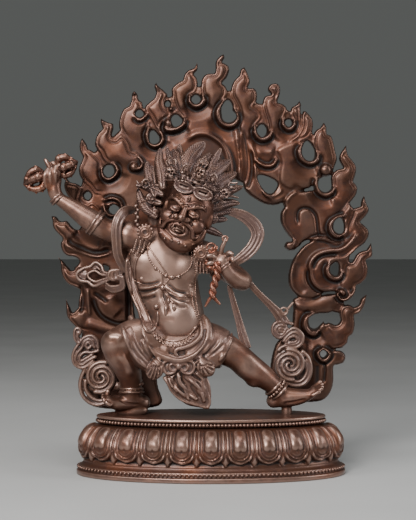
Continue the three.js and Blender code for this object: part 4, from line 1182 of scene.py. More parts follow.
# Fuller forms: centre, radii and roll.
BLOBS = [
    ((-9, -3.6, 42.7), (6.8, 5.6, 7.2), 0), ((-8.9, -2.6, 34.8), (7.8, 4.8, 4.6), 0),
    ((-16.7, -2.7, 57.2), (5.6, 3.0, 4.8), 20), ((-7.8, -2.7, 55.6), (5.4, 3.0, 4.6), -20),
    ((-9.7, -1, 35.2), (9.4, 6.2, 5), 0),
    ((-22.7, -0.6, 64.7), (4.0, 3.9, 4.1), 0), ((-2.2, -0.6, 59.3), (4.0, 3.8, 4.1), 0),
    ((-26, -8, 35.8), (3.5, 3.4, 3.9), 0), ((-18.5, 0.6, 19.1), (2.2, 2.4, 2.2), 0),
    ((17.1, 0.6, 19.6), (2.2, 2.4, 2.1), 0), ((11.9, -1.8, 26.4), (2.9, 3.0, 3.1), 40),
    ((2.9, -7.2, 57.6), (2.5, 1.9, 2.3), 20), ((-31, -1.5, 67.9), (3.2, 3.1, 3.1), 0),
]

# Fingers and toes: rows of place and radius.
DIGITS = [
    # raised fist round the sceptre
    [(-44.1, -3.2, 77.9, 0.75), (-44.5, -4.3, 80.3, 0.75), (-43.7, -4, 82.2, 0.7)],
    [(-43, -3.2, 77.9, 0.75), (-43.1, -4.5, 80.5, 0.75), (-42.7, -4, 82.4, 0.7)],
    [(-41.9, -3.2, 78.4, 0.75), (-41.8, -4.4, 81.1, 0.75), (-41.6, -3.8, 83, 0.7)],
    [(-41.4, -3, 79.5, 0.7), (-40.8, -4, 81.9, 0.7), (-40.8, -3.4, 83.5, 0.65)],
    [(-41.5, -2, 76.8, 0.9), (-40.9, -2.4, 80.1, 0.8), (-41.7, -2.6, 83, 0.75),
        (-42.5, -2.6, 84.1, 0.65)],
    [(-43.3, -2.6, 82.7, 0.75), (-44.2, -2.6, 84.4, 0.65), (-44.6, -2.6, 84.9, 0.5)],
    # low hand: the first finger points up, the others close on the noose
    [(2.4, -7.4, 59.2, 0.75), (2.9, -7.8, 61.3, 0.68), (3.5, -8, 62.6, 0.6), (4, -8.1, 63.9, 0.5)],
    [(1.3, -7.6, 58.4, 0.8), (0.3, -8.6, 59.2, 0.72), (-0.8, -8.9, 59.2, 0.6)],
    [(4, -7.4, 59.2, 0.8), (4.8, -8.2, 60, 0.72), (5.6, -8.6, 59.7, 0.6)],
    [(4.5, -7.4, 58.1, 0.8), (5.6, -8.2, 58.6, 0.7), (5.8, -8.6, 57.9, 0.55)],
    [(1.3, -7.8, 57, 0.8), (0, -8.7, 57.3, 0.7), (-0.8, -8.8, 57.1, 0.55)],
    # toes of the bent leg's foot
    [(-27.3, -0.9, 20.1, 0.85), (-28.1, -0.8, 21.2, 0.85), (-27.9, -0.8, 22.4, 0.75)],
    [(-28, -2, 19.9, 0.7), (-29, -2.1, 20.8, 0.66), (-29.2, -2.1, 21.4, 0.55)],
    [(-28, -3.1, 19.7, 0.65), (-28.9, -3.2, 20.4, 0.6), (-29.2, -3.2, 21, 0.5)],
    [(-27.6, -4, 19.4, 0.62), (-28.6, -4.1, 19.9, 0.56), (-28.8, -4.1, 20.5, 0.45)],
    [(-27, -4.8, 19.1, 0.58), (-27.8, -4.9, 19.5, 0.5), (-28.1, -4.9, 19.9, 0.42)],
    # toes of the straight leg's foot
    [(27.7, 1, 22.8, 0.8), (29.1, 1, 23.8, 0.8), (29.7, 1, 24.6, 0.7)],
    [(28.2, -0.2, 22.7, 0.68), (29.5, -0.3, 23.5, 0.62), (30.2, -0.3, 24.2, 0.52)],
    [(28.1, -1.2, 22.4, 0.64), (29.4, -1.3, 23.1, 0.58), (30.2, -1.3, 23.6, 0.48)],
    [(27.9, -2.1, 22, 0.6), (29.2, -2.2, 22.7, 0.54), (30, -2.2, 23.1, 0.45)],
    [(27.4, -2.9, 21.5, 0.56), (28.6, -3, 22.1, 0.5), (29.3, -3, 22.3, 0.42)],
]

# Folds of the skin: half-width, height and path.
SKIN = [
    (0.75, -0.5, [(-20.6, 52), (-18.7, 51.4), (-16.5, 51.3), (-14.6, 51.8), (-13.6, 52.8)]),
    (0.85, 0.7, [(-20.3, 50.3), (-17.3, 50.4), (-14.9, 50.9), (-13.3, 51.2)]),
    (0.6, -0.6, [(-20.1, 49.2), (-16.8, 49.6), (-13.8, 50.6)]),
    (0.85, 0.6, [(-19.5, 48.2), (-16.8, 48.6), (-14.4, 49.4)]),
    (0.6, -0.28, [(-19.2, 46.9), (-16.5, 47.3), (-14.4, 48.4)]),
    (0.8, -0.55, [(-12.2, 52.2), (-11.1, 50.9), (-9.5, 49.6), (-7.3, 49.1), (-5.4, 49.5)]),
    (0.85, 0.7, [(-11.9, 51), (-10.3, 49.4), (-8.1, 48.2), (-5.7, 47.8)]),
    (0.6, -0.6, [(-12.2, 50.1), (-10.8, 48.3), (-8.7, 47.1), (-5.7, 46.8)]),
    (0.85, 0.6, [(-11.8, 48.7), (-10.3, 47.2), (-8.1, 46.1), (-5.7, 45.9)]),
    (0.6, -0.28, [(-11, 46.8), (-8.9, 45.4), (-6.2, 45)]),
    (0.8, -0.25, [(-12.7, 54.4), (-12.6, 52.5), (-13, 50.3)]),
    (1.2, -0.4, [(-13, 49.8), (-12.5, 46), (-11.4, 42.7)]),
    (0.9, -0.12, [(-14.4, 41.4), (-11.9, 41.8), (-9.5, 41.5)]),
    (0.9, -0.35, [(-22, 60.6), (-19.2, 61.4), (-16.5, 61.2)]),
    (0.8, -0.35, [(-6.8, 59.8), (-4.1, 59.5), (-2.4, 57.9)]),
    # knee, shin and sole
    (1.6, 0.4, [(-28.5, 37.3), (-25.7, 37.3), (-24.1, 36)]),
    (1.5, 0.35, [(-25.2, 33), (-23, 29.7), (-21.7, 25.9)]),
    (0.5, -0.3, [(-25.2, 20), (-22.5, 18.9), (-18.7, 18.6)]),
    (1.4, 0.15, [(8.9, 33.3), (12.7, 30.3), (16.5, 26.2)]),
    (0.5, -0.3, [(19.2, 18.9), (23, 19.4), (26.3, 20.2)]),
    (0.5, -0.35, [(-42.3, 73.4), (-40.9, 75), (-39.8, 75.8)]),
]


def cast_body():
    forms = Forms()
    for limb in LIMBS:
        rod(forms, limb, 18)
    for centre, radii, roll in BLOBS:
        blob(forms, centre, radii, roll)
    forms = Forms(cast(forms, 0.34, 14).mesh)
    for digit in DIGITS:
        rod(forms, digit, 10, step=0.4)
    # the pad and the peg that join the feet to the deck
    blob(forms, (-21.6, -0.2, 17.1), (4.6, 2.2, 1.9))
    blob(forms, (20.6, 0.5, 16.9), (1.5, 1.5, 2.2))
    clay = cast(forms, 0.19, 3)
    view = clay.in_view()
    skin = Relief(clay.seen())
    for wide, high, path in SKIN:
        skin.stroke(path, wide, high, sharp=1.6, taper=0.25)
    skin.boss((-5.4, 51), (0.45, 0.45), 0.35)
    skin.boss((-19, 52.8), (0.45, 0.45), 0.3)
    clay.carve(skin, view)
    clay.relax(1)
    clay.write()
    return clay


body_clay = cast_body()


# Head

# The face has axes of its own: x across, y back and z up from the point between the eyes.
FACE_ROLL, FACE_YAW, FACE_NOD = 20, -6, 6
# The full forms of the face nod a little further forward.
FORM_NOD = 8
FACE = (Matrix.Translation((-7, -8, 71)) @ Matrix.Rotation(math.radians(FACE_ROLL), 4, "Y")
        @ Matrix.Rotation(math.radians(FACE_YAW), 4, "Z") @ Matrix.Rotation(math.radians(FACE_NOD), 4, "X"))

# Lines on the right half of the face: half-width, height, taper and path. The left half has them too.
FACE_LINES = [
    # slits of the eyes, and the folds under them
    (0.26, -0.3, 0.2, [(1.3, -0.9, -0.1), (2.6, -1.0, -0.3), (3.9, -0.5, 0.05)]),
    (0.35, -0.28, 0.2, [(1.2, -0.8, -1.0), (2.5, -0.8, -1.35), (3.9, -0.3, -0.7)]),
    (0.35, -0.32, 0.2, [(1.6, -1.3, -1.1), (2.7, -1.0, -2.1), (3.4, -0.7, -3.1)]),
    # the forehead
    (0.24, -0.12, 0.25, [(0.6, -0.8, 1.9), (2.0, -0.6, 2.7), (3.9, 0.2, 3.1)]),
    (0.24, -0.12, 0.25, [(0.6, -0.8, 2.6), (2.0, -0.6, 3.4), (3.9, 0.2, 3.7)]),
]
# Lines on its middle: the mouth, the fold between the brows and the third eye.
MIDDLE_LINES = [
    (0.26, -0.5, 0.15, [(-1.2, -1, -4.85), (0, -1, -4.8), (1.2, -1, -4.85)]),
    (0.22, -0.3, 0.2, [(-0.5, -1, 1.6), (0, -1, 1.3), (0.5, -1, 1.6)]),
    (0.2, -0.25, 0.2, [(0, -0.9, 4.5), (0, -0.9, 2.9)]),
]


def in_face(row):
    return (*(FACE @ Vector(row[:3])), *row[3:])


def face_rod(forms, rows, sides=10, step=0.35):
    rod(forms, [in_face(r) for r in rows], sides, step=step)


def face_blob(forms, centre, radii, roll=0, fine=3):
    blob(forms, in_face(centre), radii, roll + FACE_ROLL, FORM_NOD, FACE_YAW, fine)


def face_ball(forms, centre, radius):
    face_blob(forms, centre, (radius,) * 3, fine=2)


def face_marks(rows):
    """Where the eye sees points of the face on the middle plane."""
    marks = []
    for row in rows:
        spot = FACE @ Vector(row[:3])
        reach = -EYE[1] / (spot.y - EYE[1])
        marks.append((EYE[0] + (spot.x - EYE[0]) * reach, EYE[2] + (spot.z - EYE[2]) * reach))
    return marks


def face_boss(relief, spot, radii, high, turn=0):
    relief.boss(face_marks([spot])[0], radii, high, turn=turn)


def head():
    forms = Forms()
    face_blob(forms, (0.6, 5.2, 1.0), (6.6, 5.7, 7.4))
    face_blob(forms, (0.6, 4.6, -5.6), (6.5, 5.0, 5.6))
    face_blob(forms, (0.8, 1.8, -8.6), (4.4, 2.2, 2.7))
    for side in (-1, 1):
        face_blob(forms, (0.3 + 3.8 * side, 0.9, -2.8), (2.5, 1.8, 2.1))
        face_blob(forms, (0.5 + 6.3 * side, 4.2, -0.8), (0.9, 1.3, 2.4))
    clay = cast(forms, 0.2, 6)
    hollow = Relief(clay.seen())
    for side in (-1, 1):
        face_boss(hollow, (2.4 * side, 0, 0.1), (2.2, 1.6), -0.4, turn=-FACE_ROLL)
    face_boss(hollow, (0.0, -0.5, -5.1), (2.3, 1.4), -1.7, turn=-FACE_ROLL)
    clay.carve(hollow, clay.in_view(), FRONT)

    forms = Forms(clay.mesh)
    face_rod(forms, [(0, -0.5, 1.4, 0.7), (0, -1.3, 0.2, 0.8), (0, -2.0, -1.1, 1.05),
        (0, -2.3, -1.6, 1.2)])
    face_blob(forms, (0, -0.7, 3.7), (0.5, 0.5, 0.95))
    for side in (-1, 1):
        face_blob(forms, (2.6 * side, -0.3, -0.1), (1.75, 1.2, 1.2), roll=8 * side)
        face_blob(forms, (1.35 * side, -1.4, -1.9), (1.0, 0.95, 0.8))
        # brows drawn down to the nose and curled up at their ends
        face_rod(forms, [(0.55 * side, -0.75, 0.8, 0.42), (1.6 * side, -0.75, 1.5, 0.5),
                         (3.2 * side, -0.35, 2.3, 0.5), (4.5 * side, 0.5, 2.3, 0.42),
                         (5.2 * side, 1.3, 1.7, 0.25)])
        for k in range(5):
            spot = (side * (1.3 + 0.85 * k), -0.85 + 0.12 * k * k, 1.75 + 0.42 * k - 0.05 * k * k)
            face_blob(forms, spot, (0.4, 0.4, 0.55), roll=-30 * side, fine=2)
        # moustache
        face_rod(forms, [(0.5 * side, -1.4, -2.8, 0.35), (2.0 * side, -1.15, -3.0, 0.45),
                         (3.6 * side, -0.5, -4.1, 0.5), (4.4 * side, 0.1, -5.8, 0.6),
                         (5.2 * side, 0.9, -5.6, 0.45), (5.8 * side, 1.8, -3.6, 0.15)])
        # the jaw, full under the cheeks, with small curls along its edge
        face_rod(forms, [(0.4 + 5.9 * side, 3.4, -3.6, 0.8), (0.4 + 5.3 * side, 2.6, -5.9, 1.3),
                         (0.4 + 3.8 * side, 1.8, -7.6, 1.7), (0.4 + 1.4 * side, 1.3, -8.6, 1.8)], 14)
        for x, y, z, r in ((1.0, -0.8, -8.4, 0.42), (2.9, -0.4, -8.6, 0.4), (4.6, 0.5, -7.6, 0.38),
                           (5.7, 1.8, -6.2, 0.34)):
            face_ball(forms, (0.3 + x * side, y, z), r)
        # fangs
        face_rod(forms, [(1.35 * side, -1.3, -3.9, 0.28), (1.5 * side, -1.6, -5.0, 0.14)], 8)
    # lips, tongue and teeth
    face_rod(forms, [(2.4 * x, -0.8 - 0.4 * (1 - abs(x)), -5.1 + 1.45 * z, 0.48) for x, z in circle(13)])
    face_blob(forms, (0, -0.1, -5.5), (1.3, 0.9, 0.5))
    for x in (-0.75, -0.25, 0.25, 0.75):
        face_blob(forms, (1.2 * x, -0.5, -4.35), (0.28, 0.3, 0.34), fine=2)
    clay = cast(forms, 0.13, 2)
    view = clay.in_view()
    lines = Relief(clay.seen())
    for side in (-1, 1):
        for wide, high, taper, path in FACE_LINES:
            lines.stroke(face_marks([(x * side, y, z) for x, y, z in path]), wide, high, taper=taper)
        face_boss(lines, (0.75 * side, -2.2, -2.1), (0.3, 0.22), -0.4)
    for wide, high, taper, path in MIDDLE_LINES:
        lines.stroke(face_marks(path), wide, high, taper=taper)
    clay.carve(lines, view)
    return clay


def leaf(forms, points, wide, thick=0.75):
    """A pointed leaf along points x, z, y from its foot to its tip."""
    line = smooth([on_eye_line(*point) for point in points], 0.5, axes=3)
    t = np.linspace(0, 1, len(line))
    size = wide * np.sqrt(np.clip(np.minimum(0.35 + 1.9 * t, 1) * np.clip(1.0 - t**2.6, 0, 1), 0.003, 1))
    sweep(forms, sized(line, size, thick * (0.25 + 0.75 * np.clip(1 - t**3, 0, 1))))


# Flame-shaped locks and feathers: half-width and points from foot to tip.
PLUMES = [
    (1.5, [(-7.3, 79.6, -5), (-7.9, 83.1, -4.2), (-8.4, 86.6, -2.4), (-8.5, 89.4, -1)]),
    (2.2, [(-8.4, 79.1, -6), (-8.7, 82.3, -5.6), (-9.2, 85, -4.4), (-10.3, 88, -2)]),
    (2.7, [(-7.3, 79.1, -6.2), (-6.5, 82.8, -5.6), (-4.9, 86.5, -3.8), (-1.6, 89.9, -1.6)]),
    (1.6, [(-4.6, 79.6, -7), (-3.8, 82, -6.6), (-2.2, 84.5, -5), (0, 86.9, -2.6)]),
    (1.0, [(-10.6, 81.2, -5), (-11.1, 84.7, -4), (-12.1, 88.8, -1.6)]),
    (1.7, [(-13, 77.7, -6), (-13.3, 81.2, -5.2), (-14, 84.5, -3.8), (-13.7, 88.3, -1.8)]),
    (1.1, [(-15.2, 77.7, -4), (-15.7, 80.7, -3), (-16, 83.7, -1.8)]),
    (1.5, [(-15.2, 75.5, -4.6), (-16.3, 78.8, -3.8), (-17.1, 81.8, -2.6), (-17.3, 84.7, -1.2)]),
    (1.4, [(-1.1, 80.1, -4.6), (0.5, 83.9, -3), (2.8, 88.3, -1)]),
    (2.1, [(-2.4, 78, -6.6), (0.3, 81, -5.6), (2.7, 83.1, -3.8), (5.4, 85, -1.6)]),
    (2.0, [(-1.4, 75.8, -6.6), (1.6, 78.5, -5.4), (4.3, 80.1, -3.8), (7, 81.6, -1.8)]),
    (1.5, [(-0.3, 73.6, -5.6), (2.7, 75.8, -4.6), (5.7, 76.9, -3), (8.7, 77.8, -1.4)]),
    (1.5, [(-0.5, 71.7, -5.2), (2.7, 72.8, -3.8), (5.4, 73.4, -2.2), (7.9, 73.2, -0.8)]),
    (1.2, [(-0.8, 70.1, -4.8), (3, 70.9, -3), (7.6, 71.6, -1)]),
    (1.3, [(-1.6, 68.5, -5), (1.4, 69, -3.2), (4.6, 68.9, -1.4)]),
    (1.2, [(-2.2, 66.6, -4.6), (0.3, 65.8, -3), (3.3, 64.4, -1.2)]),
    (1.3, [(-13.8, 73.4, -4.6), (-16.8, 73.9, -3.4), (-19.8, 73, -1.8)]),
    (1.4, [(-13.3, 75.8, -5), (-16.5, 77.4, -3.8), (-19.9, 78.4, -2)]),
    (1.5, [(-14.9, 69.8, -4), (-17.1, 71.5, -3.8), (-18.8, 73.9, -3.4), (-19.8, 77.4, -2.6)]),
    (1.2, [(-5.1, 78.8, -8.2), (-4.6, 80.7, -7.8), (-3.3, 82.6, -6.4), (-1.6, 83.4, -4.6)]),
    (1.1, [(-9.5, 79.3, -7.8), (-10, 81.2, -7), (-10.8, 83.1, -5.6)]),
]

# The crown's skulls: place in the face's axes and turn.
SKULLS = [((-6.9, 0.8, 8.5), -24), ((0.6, -1.4, 11.3), 0), ((8.4, 2.2, 8.0), 28)]

# Bars of the crown's side ornaments, left and right.
SIDE_ORNAMENTS = [
    [(-12, -5, 78.1, 0.5), (-15.8, -4.2, 77.9, 0.55), (-19.9, -3.4, 78, 0.4)],
    [(-19.9, -3.2, 79.2, 0.25), (-19.2, -3.6, 77.9, 0.45), (-19.9, -3.2, 76.8, 0.25)],
    [(0.5, -5, 76.2, 0.5), (2.9, -4.4, 77.3, 0.6), (5.9, -3.6, 77.3, 0.5), (8.6, -3, 77.8, 0.2)],
    [(1.9, -4.4, 74.4, 0.3), (4.8, -4, 75.2, 0.45), (7.3, -3.2, 74.7, 0.25)],
]


def on_skull(skull, across, back, up):
    """A place given in a skull's own axes, in the face's axes."""
    (x, y, z), turn = skull
    c, s = math.cos(math.radians(turn)), math.sin(math.radians(turn))
    return (x + across * c + up * s, y + back, z - across * s + up * c)


def add_skull(forms, skull):
    face_blob(forms, on_skull(skull, 0, -0.2, 0.35), (1.6, 1.35, 1.42))
    face_blob(forms, on_skull(skull, 0, -0.5, -1.0), (1.02, 1.0, 0.8))
    for side in (-1, 1):
        face_blob(forms, on_skull(skull, 1.15 * side, -0.8, -0.35), (0.42, 0.5, 0.3), fine=2)
    face_rod(forms, [(*on_skull(skull, x, y, -1.9), r)
                     for x, y, r in ((-1.5, 0, 0.3), (0, -0.8, 0.36), (1.5, 0, 0.3))], 8)
    # the jewel and leaf over it
    face_blob(forms, on_skull(skull, 0, -0.2, 2.3), (0.62, 0.55, 0.62), fine=2)
    for side in (-1, 1):
        face_rod(forms, [(*on_skull(skull, x * side, y, z), r) for x, y, z, r in (
            (0.9, 0, 1.9, 0.28), (1.2, 0.1, 2.9, 0.28), (0.5, 0, 3.5, 0.26), (0, 0, 4.4, 0.2))], 8)


def crown():
    forms = Forms()
    face_blob(forms, (0.6, 7.4, 5.0), (7.0, 4.4, 6.4))
    face_blob(forms, (0.4, 5.4, 6.6), (5.9, 4.4, 2.4))
    face_blob(forms, (0.0, 8.0, 10.0), (5.6, 2.6, 4.0))
    for wide, points in PLUMES:
        leaf(forms, points, wide)
    face_rod(forms, [(-6.4, 3.0, 7.2, 0.35), (-4.6, 1.2, 7.9, 0.4), (0.3, -0.3, 8.2, 0.4),
        (5.4, 1.2, 7.9, 0.4), (7.3, 3.0, 7.2, 0.35)])
    for k in range(-4, 5):
        face_blob(forms, (0.3 + 1.25 * k, -0.2 + 0.1 * k * k, 8.9 - 0.05 * k * k), (0.5, 0.45, 0.45),
                  fine=2)
    # two oval ornaments over the brows
    for side in (-1, 1):
        middle = 0.35 + 2.75 * side
        face_rod(forms, [(middle + 2.55 * x, -0.75 + 0.08 * (2.55 * x)**2, 6.1 + 1.5 * z, 0.27)
                         for x, z in circle(13)], 8)
        face_blob(forms, (middle, -0.1, 6.1), (2.5, 0.8, 1.45))
    for skull in SKULLS:
        add_skull(forms, skull)
    # small jewels between the skulls
    for x, y, z in ((-3.4, -0.9, 10.2), (4.4, -0.7, 10.4), (-8.0, 2.0, 7.0)):
        face_blob(forms, (x, y, z), (0.6, 0.6, 0.75), fine=2)
        for side in (-1, 1):
            face_rod(forms, [(x + 0.9 * side, y + 0.3, z - 0.6, 0.25),
                             (x + 0.6 * side, y + 0.2, z + 0.9, 0.25), (x, y, z + 1.7, 0.18)], 8)
    # side ornaments of the crown
    for rows in SIDE_ORNAMENTS:
        rod(forms, rows, 8)
    for mark, y, r in (((-17.5, 78.6), -4.6, 1.1), ((3.3, 76.3), -4.4, 1.3)):
        wire(forms, mark, y, 0.34, r)
        ball(forms, on_eye_line(*mark, y), 0.5)
    # hair behind the near ear, and locks
    blob(forms, (-15.9, -1.6, 73.3), (2.6, 1.8, 3.6), roll=20)
    blob(forms, (-14.8, -2, 70.1), (2.2, 1.8, 3.4), roll=15)
    blob(forms, (0, -2.4, 70.9), (2.0, 1.8, 4.4), roll=20)
    for mark, y, r, clockwise in (((-16, 74.4), -4.4, 1.5, False), ((1.4, 72.5), -4.2, 1.6, True),
                                  ((0.5, 69), -4.4, 1.3, True), ((-15.2, 70.9), -3.8, 1.2, False)):
        wire(forms, mark, y, 0.36, r, 0.25, 1.7, 90, 24, clockwise=clockwise, rise=0.02)
        blob(forms, on_eye_line(*mark, y + 0.8), (r * 1.1, 0.9, r * 1.1))
    # the chain of knots at the left
    rod(forms, [(-19.9, -2.6, 73.6, 0.45), (-19.9, -2.8, 67.4, 0.45)], 8)
    for k in range(7):
        blob(forms, (-19.9 + 0.25 * (-1)**k, -2.9, 73.5 - 1.02 * k), (0.62, 0.55, 0.52), fine=2)
    clay = cast(forms, 0.16, 1)
    view = clay.in_view(slack=0.6)
    lines = Relief(clay.seen())
    # a rib and barbs on every plume
    for wide, points in PLUMES:
        middle = smooth([p[:2] for p in points], 0.62)
        run = np.gradient(middle, axis=0)
        run /= np.linalg.norm(run, axis=1)[:, None]
        off = np.stack([run[:, 1], -run[:, 0]], 1)
        lines.stroke(middle, 0.22, -0.22, straight=True)
        for spot, way, out in list(zip(middle, run, off))[2:-1]:
            for side in (-1, 1):
                barb = [spot + side * out * 0.2, spot + side * out * wide * 0.8 + way * wide * 0.5]
                lines.stroke(barb, 0.22, -0.1, straight=True)
    # eye sockets, nose and teeth of the skulls
    for skull in SKULLS:
        for x, z, size, high in ((-0.58, 0.15, 0.46, -0.9), (0.58, 0.15, 0.46, -0.9), (0, -0.5, 0.24, -0.5),
                                 (-0.35, -1.15, 0.12, -0.25), (0, -1.2, 0.12, -0.25),
                                 (0.35, -1.15, 0.12, -0.25)):
            face_boss(lines, on_skull(skull, x, -1.2, z), (size, size), high)
    for side in (-1, 1):
        lines.stroke(face_marks([(0.35 + 1.7 * side, -1, 6.4), (0.35 + 3.7 * side, -0.7, 6.4)]), 0.26, -0.8)
        face_boss(lines, (0.35 + 2.75 * side, -0.9, 6.1), (1.9, 1.0), -0.22, turn=-FACE_ROLL)
    clay.carve(lines, view)
    return clay


piece("head", head(), aged_copper("face_copper", warm=0.5, pale=0.05, shine=0.4, grain=0.15), "figure",
      most=90_000)
# The crown's hollows darken more strongly with patina dirt and painted shade.
piece("crown", crown(), aged_copper("crown_copper", warm=0.12, shine=0.44, gloss=0.25, dirt_and_shade=1.4, dark=0.35,
                                    metal=0.75), "figure", most=120_000)


# Garment

# Folds pressed into the gathered ends of the sash.
PLEATS = [
    [(-16.3, 29.1), (-17.5, 27.6)], [(-15.6, 29.2), (-16.9, 26.3)], [(-14.9, 29.1), (-16, 25.5)],
    [(-14.2, 28.9), (-14.9, 25.7)], [(-13.7, 29.2), (-13.8, 26.6)], [(-13.4, 29.9), (-12.7, 28.1)],
    [(-13.4, 30.7), (-12.3, 29.6)], [(-1.1, 29.6), (0.9, 29.3)], [(-1.6, 29.3), (0.7, 28)],
    [(-2.2, 29.1), (-0.4, 26.7)], [(-2.7, 29.1), (-1.9, 26.6)], [(-3.1, 29.6), (-3.1, 27.7)],
    [(-3.4, 30.4), (-4.2, 29.1)], [(-3.3, 31.2), (-4.5, 30.4)],
]
# The hanging tail: raised folds, sunk lines, and the half-width and path of the cords laid on it.
TAIL_FOLDS = [
    [(-8.7, 27.6), (-8.7, 25.1), (-7.3, 23), (-6.5, 20.8), (-5.6, 19.4)],
    [(-7.6, 26.7), (-6.1, 25.3), (-4.2, 24), (-3.3, 22.1), (-1.9, 20.5)],
    [(-6.8, 27.3), (-4.9, 25.9), (-3, 24.6), (-1.9, 22.4), (-1.1, 20)],
    [(-9.5, 27.3), (-10.3, 25.7), (-9.5, 23.8), (-8.4, 22.1), (-7.3, 20.2)],
    [(-10.6, 26.5), (-10.8, 25.1), (-10, 23.2), (-8.7, 21.6)],
    [(-11.7, 26.2), (-11.2, 24.9), (-10.4, 23)],
]
TAIL_LINES = [
    [(-8.4, 26.2), (-7.9, 24), (-6.2, 22.1), (-4.3, 20.5)], [(-5.7, 24.3), (-4.6, 22.4), (-3, 20.2)],
    [(-11.1, 25.7), (-10, 24.3), (-8.4, 22.7)],
]
TAIL_CORDS = [
    (0.42, [(-12.7, 25.9), (-11.7, 24.3), (-10.7, 22.4), (-8.9, 20.5), (-6.5, 19.2), (-3.8, 18.5),
        (-1.4, 17.8)]),
    (0.42, [(-3.8, 27), (-2.4, 25.7), (-2.2, 24.3), (-1.4, 22.4), (-0.5, 20.5), (-0.3, 19.2),
        (-0.8, 17.8)]),
    (0.55, [(-8.9, 27), (-8.4, 24.6), (-7, 23), (-5.7, 21.3), (-4.1, 20.2)]),
    (0.55, [(-7.3, 27.3), (-5.7, 25.4), (-4.1, 24), (-2.7, 22.1), (-1.9, 19.7)]),
    (0.42, [(-10.8, 26.2), (-10, 24.3), (-8.7, 22.4), (-7, 20.8)]),
]
# One loop of the bow, from the knot and back, in shares of its width and height.
BOW = [(0.0, 0.3), (0.45, 0.95), (0.9, 0.75), (1.0, -0.1), (0.75, -0.9), (0.3, -0.85), (0.0, -0.25)]


